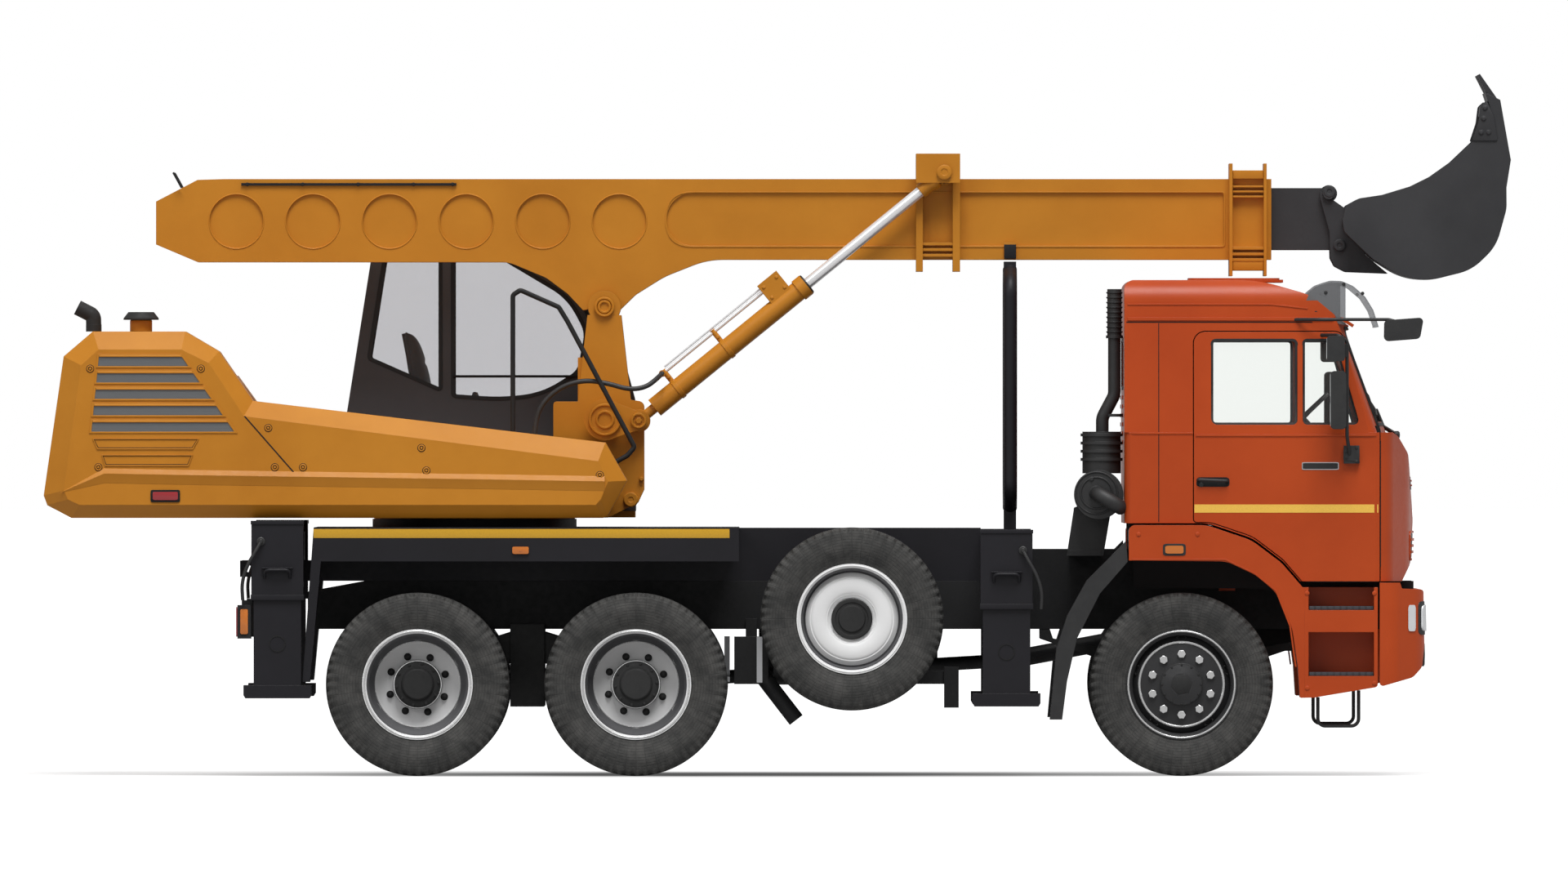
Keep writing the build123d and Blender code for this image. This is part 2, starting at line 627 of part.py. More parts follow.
CAB_SIDE = [
    (CAB_REAR_X, CAB_BOTTOM),
    (CAB_REAR_X, 3032, 60),
    (2935, 3032, 900),
    (3255, 2940, 300),
    (3478, 2755, 60),
    (3702, CAB_BELT + 35, 20),
    (3790, CAB_BELT - 22, 60),
    (3855, 1970, 80),
    (3895, 1560, 200),
    (3876, 1310, 100),
    (3815, CAB_BOTTOM),
]
CAB_LOWER_EDGE = [
    (2000, CAB_REAR_BOTTOM),
    (2625, CAB_REAR_BOTTOM, 260),
    (2900, 1452, 260),
    (3085, 1312, 200),
    (3212, 1165),
    (3215, CAB_BOTTOM - 10),
    (3300, CAB_BOTTOM - 200),
    (2000, CAB_BOTTOM - 200),
]
CAB_FRONT = [
    (-CAB_HALF, CAB_BOTTOM - 200),
    (-CAB_HALF, CAB_BELT - 10, 200),
    (-CAB_HALF + 70, 3040, 150),
    (CAB_HALF - 70, 3040, 150),
    (CAB_HALF, CAB_BELT - 10, 200),
    (CAB_HALF, CAB_BOTTOM - 200),
]
CAB_PLAN = [
    (CAB_REAR_X, -CAB_HALF - 5, 60),
    (3720, -CAB_HALF - 5, 160),
    (3860, -840, 500),
    (3900, 0, 3000),
    (3860, 840, 500),
    (3720, CAB_HALF + 5, 160),
    (CAB_REAR_X, CAB_HALF + 5, 60),
]
SCREEN_PLAN = [
    (1500, -CAB_HALF - 5),
    (3650, -CAB_HALF - 5, 90),
    (3718, -820, 900),
    (3727, 0, 3000),
    (3718, 820, 900),
    (3650, CAB_HALF + 5, 90),
    (1500, CAB_HALF + 5),
]
SCREEN_RAKE = (3478 - 3702, 0, 2755 - CAB_BELT - 35)
DOOR_OUTLINE = [
    (DOOR_REAR_X, 2715, 70),
    (3440, 2715, 60),
    (3508, 2550, 300),
    (DOOR_FRONT_X, CAB_BELT - 5, 60),
    (DOOR_FRONT_X, CAB_BOTTOM - 20, 30),
    (3224, CAB_BOTTOM - 20),
    (3224, 1165),
    (3085, 1326, 200),
    (2900, 1466, 260),
    (2645, 1552, 200),
    (DOOR_REAR_X, 1552, 20),
]
DOOR_WINDOW = [(2645, 2147, 40), (2645, 2670, 40), (3173, 2670, 30), (3173, 2147, 30)]
QUARTER_WINDOW = [(3205, 2147, 30), (3205, 2670, 30), (3405, 2670, 30), (3555, 2147, 30)]
SCREEN_OPENING = [(-1060, 2165, 70), (-1000, 2725, 70), (1000, 2725, 70), (1060, 2165, 70)]
REAR_WINDOW = [(-500, 2385, 50), (-500, 2660, 50), (500, 2660, 50), (500, 2385, 50)]


def cab_form(depth):
    """The truck cab's closed form, drawn in from its skin by the depth."""
    half = CAB_HALF + 50
    with BuildPart() as plan:
        extrude(face_through(CAB_PLAN, Plane.XY.offset(CAB_BOTTOM - 200), depth), amount=CAB_BELT + 200 - CAB_BOTTOM)
        extrude(face_through(SCREEN_PLAN, Plane.XY.offset(CAB_BELT - 0.5), depth), amount=1100, dir=SCREEN_RAKE)
    with BuildPart() as form:
        extrude(face_through(CAB_SIDE, Plane.XZ.offset(-half), depth), amount=2 * half)
        extrude(
            face_through(CAB_FRONT, Plane.YZ.offset(CAB_REAR_X - 100), depth),
            amount=2500,
            mode=Mode.INTERSECT,
        )
        add(plan.part, mode=Mode.INTERSECT)
    return form.part


def cab_below(depth):
    """What the cab's form leaves free below: the wheel arches and the tunnel over the engine."""
    with BuildPart() as below:
        side_prism(CAB_LOWER_EDGE, -1400, 1400)
        floor = (1000, CAB_REAR_BOTTOM)
        block((2000, 3820), (-TUNNEL_HALF, TUNNEL_HALF), floor)
    return below.part


def cab_room():
    """The room inside the cab: the form drawn in by the wall, above the floor."""
    raised = CAB_WALL
    with BuildPart() as room:
        add(cab_form(CAB_WALL))
        lower = [(x, z + raised, *rest) for x, z, *rest in CAB_LOWER_EDGE[:5]]
        lower += [(4100, CAB_BOTTOM + raised), (4100, 900), (2000, 900)]
        side_prism(lower, -1400, 1400, mode=Mode.SUBTRACT)
        block(
            (1900, 4100),
            (-TUNNEL_HALF - raised, TUNNEL_HALF + raised),
            (900, CAB_REAR_BOTTOM + raised),
            mode=Mode.SUBTRACT,
        )
    return room.part


CAB_SKIN = cab_form(0)
CAB_INSIDE = cab_room()
DOOR_DEPTH = CAB_HALF - CAB_WALL - 85


def door_prism(gap, side):
    """The door's outline, grown by the gap, through the side wall."""
    outer = Plane.XZ.offset(-max(side * DOOR_DEPTH, side * (CAB_HALF + 60)))
    return extrude(face_through(DOOR_OUTLINE, outer, -gap), amount=CAB_HALF + 60 - DOOR_DEPTH, mode=Mode.PRIVATE)


with BuildPart() as cab_shell:
    add(CAB_SKIN)
    add(cab_below(0), mode=Mode.SUBTRACT)
    add(CAB_INSIDE, mode=Mode.SUBTRACT)
    front_prism(SCREEN_OPENING, 3350, 3760, mode=Mode.SUBTRACT)
    front_prism(REAR_WINDOW, CAB_REAR_X - 5, CAB_REAR_X + CAB_WALL + 5, mode=Mode.SUBTRACT)
    for side in (-1, 1):
        add(door_prism(DOOR_GAP, side), mode=Mode.SUBTRACT)
    block((2515, 3095), (-420, 420), (3020, 3037))
save(cab_shell, "cab_shell")

with BuildPart() as cab_glass:
    with BuildPart(mode=Mode.PRIVATE) as pane:
        add(cab_form(GLASS_INSET))
        add(cab_form(GLASS_INSET + GLASS_THICK), mode=Mode.SUBTRACT)
    with BuildPart(mode=Mode.PRIVATE) as openings:
        extrude(face_through(SCREEN_OPENING, Plane.YZ.offset(3350), TOUCH), amount=410)
        extrude(face_through(REAR_WINDOW, Plane.YZ.offset(CAB_REAR_X - 5), TOUCH), amount=CAB_WALL + 10)
    add(pane.part)
    add(openings.part, mode=Mode.INTERSECT)
save(cab_glass, "cab_glass")

for hand, side in HANDS:
    with BuildPart() as door:
        add(CAB_SKIN)
        add(CAB_INSIDE, mode=Mode.SUBTRACT)
        add(door_prism(0, side), mode=Mode.INTERSECT)
        for window in (DOOR_WINDOW, QUARTER_WINDOW):
            side_prism(window, -1400, 1400, mode=Mode.SUBTRACT)
        # the sill and the pillar's root are drawn in no deeper than the rest, so that the door swings clear
        for reach, top in ((CAB_WALL, CAB_BELT + 40), (CAB_WALL + 70, 2760)):
            root_y = sorted((side * (DOOR_DEPTH - 10), side * (CAB_HALF - reach)))
            block((DOOR_REAR_X - 20, DOOR_FRONT_X + 20), root_y, (CAB_BOTTOM - 100, top), mode=Mode.SUBTRACT)
    save(door, f"cab_door_{hand}")
    with BuildPart() as glass:
        add(cab_form(GLASS_INSET))
        add(cab_form(GLASS_INSET + GLASS_THICK), mode=Mode.SUBTRACT)
        with BuildPart(mode=Mode.PRIVATE) as openings:
            for window in (DOOR_WINDOW, QUARTER_WINDOW):
                reach = sorted((side * 900, side * 1300))
                extrude(face_through(window, Plane.XZ.offset(-reach[1]), TOUCH), amount=400)
        add(openings.part, mode=Mode.INTERSECT)
    save(glass, f"cab_door_glass_{hand}")
    with BuildPart() as mirror:
        # two heads on a bent bracket that stands off the door
        out = side * (CAB_HALF + 110)
        skin = side * (CAB_HALF + TOUCH)
        bent_tube(
            [
                (3320, side * (CAB_HALF - 30), 2694),
                (3420, out, 2694),
                (3474, out, 2660),
                (3474, out, 2080),
                (3490, skin + side * 30, 1965),
            ],
            11,
            30,
        )
        block((3455, 3550), sorted((skin, skin + side * 35)), (1910, 2020))
        head_y = sorted((out - side * 20, side * 1450))
        side_prism([(3372, 2120, 25), (3372, 2475, 25), (3468, 2475, 25), (3468, 2120, 25)], *head_y)
        side_prism([(3350, 2535, 20), (3350, 2690, 20), (3460, 2690, 20), (3460, 2535, 20)], *head_y)
        block((3440, 3480), sorted((out - side * 12, out + side * 12)), (2200, 2400))
        block((3440, 3480), sorted((out - side * 12, out + side * 12)), (2560, 2640))
    save(mirror, f"mirror_{hand}")

WING = [
    (2142, 1318),
    (2142, 1534, 40),
    (2617, 1534, 260),
    (2892, 1441, 260),
    (3076, 1302, 200),
    (3204, 1154),
    (3663, 1154),
    (*WING_FOOT[1], 20),
    (*WING_FOOT[0], 40),
    (3187, 478, 10),
    (3175, 665),
    (3140, 905, 300),
    (3045, 1120, 200),
    (2925, 1225, 250),
    (2740, 1312, 200),
]
STEP_WELLS = (((3240, 3640), (1015, 1155)), ((3240, 3640), (612, 880)))
STEP_BOX_X = 3215
with BuildPart() as wings:
    for side in (-1, 1):
        side_prism(WING, *sorted((side * 915, side * 1245)))
        for well_x, well_z in STEP_WELLS:
            block(well_x, sorted((side * 1030, side * 1250)), well_z, mode=Mode.SUBTRACT)
        # the step box is a piece of its own, ahead of the arch
        seam = (STEP_BOX_X, STEP_BOX_X + TOUCH)
        block(seam, sorted((side * 900, side * 1260)), (400, 1200), mode=Mode.SUBTRACT)
        # carried by an arm that stands on the rail's side
        rail = side * (RAIL_OUTER + TOUCH)
        block((2700, 2800), sorted((rail, side * 916)), (1350, 1400))
        block((2700, 2800), sorted((rail, rail + side * 60)), (RAIL_TOP - 60, 1400))
save(wings, "wings_and_steps")

BUMPER_SIDE = [
    (3675, 545, 20),
    (3880, 603, 60),
    (3937, 665, 60),
    (3952, 800, 200),
    (3946, 1140, 20),
    (3812, 1146),
    (3800, 1182),
    (3675, 1182),
]
BUMPER_PLAN = [
    (3600, -1242),
    (3760, -1242, 120),
    (RAIL_FRONT_X + BUMPER_WALL, -1060, 200),
    (RAIL_FRONT_X + BUMPER_WALL, 1060, 200),
    (3760, 1242, 120),
    (3600, 1242),
]
with BuildPart() as bumper:
    side_prism(BUMPER_SIDE, -1250, 1250)
    plan_prism(BUMPER_PLAN, 400, 1300, mode=Mode.INTERSECT)
    extrude(face_through(BUMPER_PLAN, Plane.XY.offset(400), BUMPER_WALL), amount=900, mode=Mode.SUBTRACT)
save(bumper, "bumper")

with BuildPart() as lamps:
    for side in (-1, 1):
        # tail lamp behind each rear sleeve
        y = side * (SLEEVE_OUTER - 120)
        rear_x = REAR_SLEEVE_X - SLEEVE_SIZE / 2
        block((rear_x - 85, rear_x - 2), (y - 110, y + 110), (840, 1045))
        block((rear_x - 60, rear_x + SLEEVE_WALL - 1), (y - 30, y + 30), (1044, REAR_SLEEVE_BOTTOM - TOUCH))
    for side in (-1, 1):
        block((-1625, -1525), sorted((side * (1200 + TOUCH), side * 1212)), (1358, 1402))
save(lamps, "lamps")

VISOR_SIDE = [
    (3182, 2812),
    (3252, 2962, 30),
    (3305, 3005, 60),
    (3370, 3028, 60),
    (3443, 3026, 60),
    (3515, 2995, 60),
    (3590, 2930, 60),
    (3640, 2850, 60),
    (3675, 2745),
    (3500, 2750),
]
VISOR_PLAN = [
    (3100, -VISOR_HALF),
    (3500, -VISOR_HALF, 200),
    (3676, -880, 200),
    (3676, 880, 200),
    (3500, VISOR_HALF, 200),
    (3100, VISOR_HALF),
]
VISOR_MOUTH = [(3150, 2600), (3150, 2795), (3500, 2762), (3662, 2758), (3662, 2600)]
CAB_CLEAR = cab_form(-TOUCH)
with BuildPart() as visor:
    side_prism(VISOR_SIDE, -VISOR_HALF, VISOR_HALF)
    plan_prism(VISOR_PLAN, 2700, 3040, mode=Mode.INTERSECT)
    # hollow and open below, with a cheek at each end
    reach = VISOR_HALF - VISOR_CHEEK
    room = face_through(VISOR_SIDE, Plane.XZ.offset(-reach), VISOR_THICK)
    extrude(room, amount=2 * reach, mode=Mode.SUBTRACT)
    side_prism(VISOR_MOUTH, -reach, reach, mode=Mode.SUBTRACT)
    add(CAB_CLEAR, mode=Mode.SUBTRACT)
save(visor, "visor")

with BuildPart() as front_mirror:
    arm_y = -CAB_HALF - 52
    bent_tube([(3135, -CAB_HALF + 70, 2790), (3300, arm_y, 2790), (3730, arm_y, 2790), (3800, arm_y, 2770)], 10, 60)
    side_prism([(3700, 2655, 30), (3703, 2785, 25), (3943, 2803, 25), (3920, 2672, 30)], arm_y - 78, arm_y + 82)
    add(CAB_CLEAR, mode=Mode.SUBTRACT)
save(front_mirror, "front_mirror")

with BuildPart() as interior:
    floor_z = CAB_REAR_BOTTOM + CAB_WALL + TOUCH
    for y in (-620, 620):
        block((2380, 2860), (y - 240, y + 240), (floor_z, 2010))
        side_prism([(2300, 1980), (2260, 2640, 30), (2370, 2640, 30), (2430, 1980)], y - 240, y + 240)
    dash = [(3400, floor_z), (3400, 2020, 40), (3520, 2110, 40), (3600, 2110, 20), (3700, floor_z)]
    side_prism(dash, -900, 900)
    bar((3420, 620, 1980), (3230, 620, 2180), 22)
    with BuildSketch(Plane(origin=(3230, 620, 2180), z_dir=(-190, 0, 200))) as ring:
        Circle(225)
        Circle(197, mode=Mode.SUBTRACT)
        Rectangle(410, 34)
    extrude(ring.sketch, amount=24)
save(interior, "cab_interior")

INTAKE_Y = -960
with BuildPart() as intake:
    pin(1960, 1720, -1130, -760, 150)
    bar((1978, INTAKE_Y, 1850), (1978, INTAKE_Y, 2105), 118)
    for z in (1935, 1985, 2035, 2085):
        bar((1978, INTAKE_Y, z - 9), (1978, INTAKE_Y, z + 9), 129)
    bent_tube(
        [(1982, INTAKE_Y, 2090), (1982, INTAKE_Y, 2190), (2056, INTAKE_Y, 2330), (2056, INTAKE_Y, 2700)],
        39,
        90,
    )
    bar((2056, INTAKE_Y, 2690), (2056, INTAKE_Y, 2977), 44)
    side_prism([(1765, 1345), (1810, 1640), (1960, 1700), (2040, 1640), (1990, 1345)], -800, -770)
    block((1780, 1980), (-801, -RAIL_OUTER - TOUCH), (1345, 1380))
save(intake, "air_intake")

# ---------------------------------------------------------------- slewing upper

PLATE_SPANS = both(SLOT_HALF, MAST_OUTER)
FRAME_REAR_X = -3900
MAST_FRONT_X = -823
MAST_SIDE = [
    (FRAME_REAR_X, UPPER_BOTTOM),
    (FRAME_REAR_X, 1800),
    (-1460, 1900),
    (-1380, 2070),
    (-1380, 2290, 20),
    (-1230, 2290),
    (PIVOT_X - 104, PIVOT_Z - 50),
    (PIVOT_X, PIVOT_Z - 50),
    (PIVOT_X + 104, PIVOT_Z - 50),
    (-905, 2300),
    (MAST_FRONT_X, 2290, 40),
    (MAST_FRONT_X, 1750),
    (-860, 1670),
    (-1045, UPPER_BOTTOM),
]
LUG_BIG = (-1063, 2178)
LUG_BIG_R = 127
LUG_SMALL_R = 57
LUG_IN = LIFT_Y + EYE_HALF + CLEAR
LUG_OUT = LUG_IN + 32
CROSS_ARM_X = (-3600, -2900, -1500)
with BuildPart() as turntable:
    bar((SLEW_X, 0, RING_TOP + TOUCH), (SLEW_X, 0, UPPER_BOTTOM - 1), SLEW_RING_R - 10)
    frame_y = (-HOUSING_INNER + TOUCH, HOUSING_INNER - TOUCH)
    block((SLEW_X - 450, SLEW_X + 450), frame_y, (RING_TOP + 1, RING_TOP + SLEW_DISC_HEIGHT))
    for low, high in PLATE_SPANS:
        side_prism(MAST_SIDE, low, high)
        pin(PIVOT_X, PIVOT_Z, low, high, MAST_TOP_R)
    pin(PIVOT_X, PIVOT_Z, -MAST_OUTER - 16, MAST_OUTER + 16, PIVOT_PIN_R)
    block((-1230, -1195), (-SLOT_HALF - 1, SLOT_HALF + 1), (1600, 2560))
    block((-905, -865), (-SLOT_HALF - 1, SLOT_HALF + 1), (1700, 2260))
    block((FRAME_REAR_X, FRAME_REAR_X + 60), (-SLOT_HALF - 1, SLOT_HALF + 1), (1590, 1790))
    for x in CROSS_ARM_X:
        block((x - 60, x + 60), frame_y, (1580, 1680))
    block((-2655, -880), (MAST_OUTER - 1, OPERATOR_OUTER), (UPPER_BOTTOM, PLATFORM_TOP))
    # outer lugs of the lift cylinders, tied to the mast behind the eye
    for side in (-1, 1):
        lug = sorted((side * LUG_IN, side * LUG_OUT))
        pin(*LUG_BIG, *lug, LUG_BIG_R)
        pin(*LIFT_BASE, *lug, LUG_SMALL_R)
        side_prism(
            [
                (LUG_BIG[0] + 10, LUG_BIG[1] + LUG_BIG_R - 2),
                (LIFT_BASE[0] + 6, LIFT_BASE[1] + LUG_SMALL_R - 1),
                (LIFT_BASE[0] + 6, LIFT_BASE[1] - LUG_SMALL_R + 1),
                (LUG_BIG[0] + 10, LUG_BIG[1] - LUG_BIG_R + 2),
            ],
            *lug,
        )
        pin(*LUG_BIG, *sorted((side * (MAST_OUTER - 1), side * (LUG_OUT + 14))), 94)
        pin(*LIFT_BASE, *sorted((side * (MAST_OUTER - 1), side * (LUG_OUT + 14))), LIFT_PIN_R)
save(turntable, "turntable_and_mast")

HOOD_REAR = (TAIL_X + 1279, 2293)
HOOD_FRONT = (-1057, 2038)
NOSE = (-925, 1805)
HOUSING_SIDE = [
    (TAIL_X, 1715),
    (TAIL_X + 122, 2565),
    (TAIL_X + 300, 2717),
    (TAIL_X + 865, 2717),
    (TAIL_X + 1072, 2595),
    HOOD_REAR,
    HOOD_FRONT,
    NOSE,
    (-1045, 1590),
    (-1070, UPPER_BOTTOM),
    (TAIL_X + 170, UPPER_BOTTOM),
    (TAIL_X + 22, 1655),
]
HOUSING_FACE = [
    (TAIL_X + 125, 1745),
    (TAIL_X + 230, 2510),
    (TAIL_X + 337, 2607),
    (TAIL_X + 843, 2607),
    (TAIL_X + 1010, 2525),
    (TAIL_X + 1225, 2200),
    (-1100, 1925),
    (-1040, 1800),
    (-1085, 1690),
    (-1115, 1657),
    (TAIL_X + 220, 1657),
    (TAIL_X + 150, 1690),
]


def bevelled_box(outline, front, inner, outer):
    """A body with the outline from y = inner, whose last stretch narrows to the front outline at y = outer."""
    bevel = outer - math.copysign(HOUSING_BEVEL, outer)
    side_prism(outline, *sorted((inner, bevel)))
    rings = [face_through(corners, Plane.XZ.offset(-y)) for corners, y in ((outline, bevel), (front, outer))]
    loft(rings, ruled=True)


with BuildPart() as housing:
    bevelled_box(HOUSING_SIDE, HOUSING_FACE, -HOUSING_INNER, -HOUSING_OUTER)
save(housing, "engine_housing")

# the counterweight's top keeps below the housing's, and steps down where the hood does
COUNTER_FRONT_X = -2720
COUNTER_STEP = (HOOD_REAR[0] + 11, HOOD_REAR[1] - 23)
COUNTER_SIDE = [
    (TAIL_X, 1715),
    (TAIL_X + 100, 2330),
    (TAIL_X + 240, 2450),
    (COUNTER_STEP[0] - 130, 2450),
    COUNTER_STEP,
    (COUNTER_FRONT_X, COUNTER_STEP[1] - 55),
    (COUNTER_FRONT_X, UPPER_BOTTOM),
    (TAIL_X + 170, UPPER_BOTTOM),
    (TAIL_X + 22, 1655),
]
TAIL_SIDE = [
    (TAIL_X + 20, 1720),
    (TAIL_X + 90, 2180),
    (TAIL_X + 160, 2230),
    (FRAME_REAR_X - 15, 2230),
    (FRAME_REAR_X - 15, 1600),
    (TAIL_X + 160, 1600),
]
COUNTER_FACE = [
    (TAIL_X + 125, 1745),
    (TAIL_X + 200, 2260),
    (TAIL_X + 300, 2350),
    (COUNTER_STEP[0] - 180, 2350),
    (COUNTER_STEP[0] - 62, COUNTER_STEP[1] - 85),
    (COUNTER_FRONT_X - 100, COUNTER_STEP[1] - 140),
    (COUNTER_FRONT_X - 100, 1657),
    (TAIL_X + 220, 1657),
    (TAIL_X + 150, 1690),
]
with BuildPart() as counterweight:
    bevelled_box(COUNTER_SIDE, COUNTER_FACE, HOUSING_INNER, HOUSING_OUTER)
    side_prism(TAIL_SIDE, -HOUSING_INNER + TOUCH, HOUSING_INNER + 1)
save(counterweight, "counterweight")

OPERATOR_SIDE = [
    (-2655, PLATFORM_TOP + TOUCH),
    (-2655, 2220),
    (-2480, 3330, 80),
    (-1700, 3330, 500),
    (-1060, 2960, 400),
    (-877, 2285, 300),
    (-877, PLATFORM_TOP + TOUCH),
]
OPERATOR_INNER = OPERATOR_OUTER - 800
FRONT_PANE = [
    (-2001, 2325, 20),
    (-2001, 3210, 20),
    (-1760, 3210, 300),
    (-1290, 2930, 250),
    (-1180, 2720, 60),
    (-1225, 2475, 60),
    (-1450, 2335, 200),
    (-1700, 2305, 200),
]
REAR_PANE = [(-2518, 2555, 20), (-2415, 3210, 20), (-2080, 3210, 20), (-2080, 2362, 20)]
OPERATOR_DOOR_X = -2045
OPERATOR_DOOR_FRONT_X = -985
HINGE_X = OPERATOR_DOOR_X - 3
HINGE_Y = OPERATOR_OUTER + 16
HINGE_Z = (1900, 3080)
HINGE_PIN_R = 6
HINGE_KNUCKLE_R = 12
HINGE_HALF = 38
HINGE_REACH = 70


def operator_door_leaf(gap):
    """The operator door's outline: the cab's side drawn in, ahead of the rear window post."""
    plane = Plane.XZ.offset(-OPERATOR_OUTER - 1)
    low, high = OPERATOR_DOOR_X - gap, OPERATOR_DOOR_FRONT_X + gap
    with BuildPart() as leaf:
        extrude(face_through(OPERATOR_SIDE, plane, 70 - gap), amount=OPERATOR_WALL + 1)
        block((low, high), (0, 2000), (1500, 3500), mode=Mode.INTERSECT)
    return leaf.part


with BuildPart() as operator_cab:
    side_prism(OPERATOR_SIDE, OPERATOR_INNER, OPERATOR_OUTER)
    plane = Plane.XZ.offset(-OPERATOR_OUTER + OPERATOR_WALL)
    extrude(face_through(OPERATOR_SIDE, plane, OPERATOR_WALL), amount=800 - 2 * OPERATOR_WALL, mode=Mode.SUBTRACT)
    for pane in (FRONT_PANE, REAR_PANE):
        side_prism(pane, OPERATOR_INNER - 1, OPERATOR_OUTER + 1, mode=Mode.SUBTRACT)
    # windscreen, rear window, and the doorway on the outer side
    screen = [(540, 1900, 40), (540, 3120, 40), (1140, 3120, 40), (1140, 1900, 40)]
    front_prism(screen, -1230, -800, mode=Mode.SUBTRACT)
    rear = [(540, 2450, 40), (540, 3180, 40), (1140, 3180, 40), (1140, 2450, 40)]
    front_prism(rear, -2700, -2440, mode=Mode.SUBTRACT)
    add(operator_door_leaf(DOOR_GAP), mode=Mode.SUBTRACT)
    # the side walls are panels of their own, on the band of floor, screen frame, roof and rear
    for seam in (OPERATOR_INNER + OPERATOR_WALL, OPERATOR_OUTER - OPERATOR_WALL - TOUCH):
        block((-2700, -800), (seam, seam + TOUCH), (1600, 3400), mode=Mode.SUBTRACT)
    # door hinges: pins held by two lugs each on the post
    post_x = OPERATOR_DOOR_X - DOOR_GAP - 1
    for z in HINGE_Z:
        bar((HINGE_X, HINGE_Y, z - HINGE_REACH), (HINGE_X, HINGE_Y, z + HINGE_REACH), HINGE_PIN_R)
        for low in (z - HINGE_REACH, z + HINGE_HALF + 2):
            lug_z = (low, low + HINGE_REACH - HINGE_HALF - 2)
            block((post_x - 28, post_x), (OPERATOR_OUTER - 1, HINGE_Y), lug_z)
            block((post_x - 28, HINGE_X + 10), (HINGE_Y - 10, HINGE_Y + 10), lug_z)
save(operator_cab, "operator_cab")

PANE_DEPTH = 14
PANE_THICK = 6
with BuildPart() as operator_glass:
    for pane in (FRONT_PANE, REAR_PANE):
        plane = Plane.XZ.offset(-OPERATOR_INNER - PANE_DEPTH - PANE_THICK)
        extrude(face_through(pane, plane, TOUCH), amount=PANE_THICK)
    plane = Plane.XZ.offset(-OPERATOR_OUTER + PANE_DEPTH)
    extrude(face_through(REAR_PANE, plane, TOUCH), amount=PANE_THICK)
    with BuildPart(mode=Mode.PRIVATE) as skin:
        outer = Plane.XZ.offset(-OPERATOR_OUTER)
        extrude(face_through(OPERATOR_SIDE, outer, PANE_DEPTH), amount=800)
        extrude(face_through(OPERATOR_SIDE, outer, PANE_DEPTH + PANE_THICK), amount=800, mode=Mode.SUBTRACT)
    with BuildPart(mode=Mode.PRIVATE) as openings:
        extrude(face_through(screen, Plane.YZ.offset(-1230), TOUCH), amount=430)
        extrude(face_through(rear, Plane.YZ.offset(-2700), TOUCH), amount=260)
        add(skin.part, mode=Mode.INTERSECT)
    add(openings.part)
save(operator_glass, "operator_glass")

with BuildPart() as operator_door:
    add(operator_door_leaf(0))
    block((-3000, 0), (OPERATOR_OUTER, OPERATOR_OUTER + 10), (1500, 3500), mode=Mode.SUBTRACT)
    side_prism(FRONT_PANE, OPERATOR_INNER, OPERATOR_OUTER + 1, mode=Mode.SUBTRACT)
    for z in HINGE_Z:
        span = (z - HINGE_HALF, z + HINGE_HALF)
        block((OPERATOR_DOOR_X - 1, OPERATOR_DOOR_X + 30), (OPERATOR_OUTER - 1, HINGE_Y - 8), span)
        bar((HINGE_X, HINGE_Y, span[0]), (HINGE_X, HINGE_Y, span[1]), HINGE_KNUCKLE_R)
        bar((HINGE_X, HINGE_Y, span[0] - 1), (HINGE_X, HINGE_Y, span[1] + 1), HINGE_PIN_R + 0.1, mode=Mode.SUBTRACT)
save(operator_door, "operator_door")

with BuildPart() as operator_door_glass:
    extrude(face_through(FRONT_PANE, Plane.XZ.offset(-OPERATOR_OUTER + PANE_DEPTH), TOUCH), amount=PANE_THICK)
save(operator_door_glass, "operator_door_glass")

with BuildPart() as operator_seat:
    floor_z = PLATFORM_TOP + OPERATOR_WALL + 2 * TOUCH
    middle = OPERATOR_OUTER - 400
    block((-2330, -1950), (middle - 230, middle + 230), (floor_z, 2080))
    back = [(-2290, 2060), (-2300, 2330, 60), (-2310, 2690, 50), (-2185, 2700, 50), (-2120, 2440, 60), (-2090, 2060)]
    side_prism(back, middle - 220, middle + 220)
    for y in (middle - 270, middle + 270):
        block((-2300, -1850), (y - 40, y + 40), (floor_z, 2220))
save(operator_seat, "operator_seat")

STACK_Y = -800
EXHAUST_X = TAIL_X + 300
INLET_X = TAIL_X + 590
with BuildPart() as stacks:
    # exhaust with its raked mouth, and the pre-cleaner on its neck
    mouth = (EXHAUST_X - 100, STACK_Y, 2865)
    bent_tube([(EXHAUST_X, STACK_Y, 2740), (EXHAUST_X - 2, STACK_Y, 2815), mouth], 47, 40)
    bar((EXHAUST_X, STACK_Y, 2717 + TOUCH), (EXHAUST_X, STACK_Y, 2760), 48)
    bar((INLET_X, STACK_Y, 2717 + TOUCH), (INLET_X, STACK_Y, 2790), 65)
    bar((INLET_X, STACK_Y, 2789), (INLET_X, STACK_Y, 2800), 108)
    with BuildSketch(Plane.XY.offset(2799)) as cap:
        with Locations((INLET_X, STACK_Y)):
            Circle(108)
    extrude(cap.sketch, amount=38, taper=38)
save(stacks, "exhaust_and_intake")

HOOD_FALL = (HOOD_REAR[1] - HOOD_FRONT[1]) / (HOOD_FRONT[0] - HOOD_REAR[0])


def on_hood(x, radius):
    """Height at which the flat end of an upright bar of that radius rests on the sloping hood."""
    return HOOD_FRONT[1] + (HOOD_FRONT[0] - x + radius) * HOOD_FALL + TOUCH


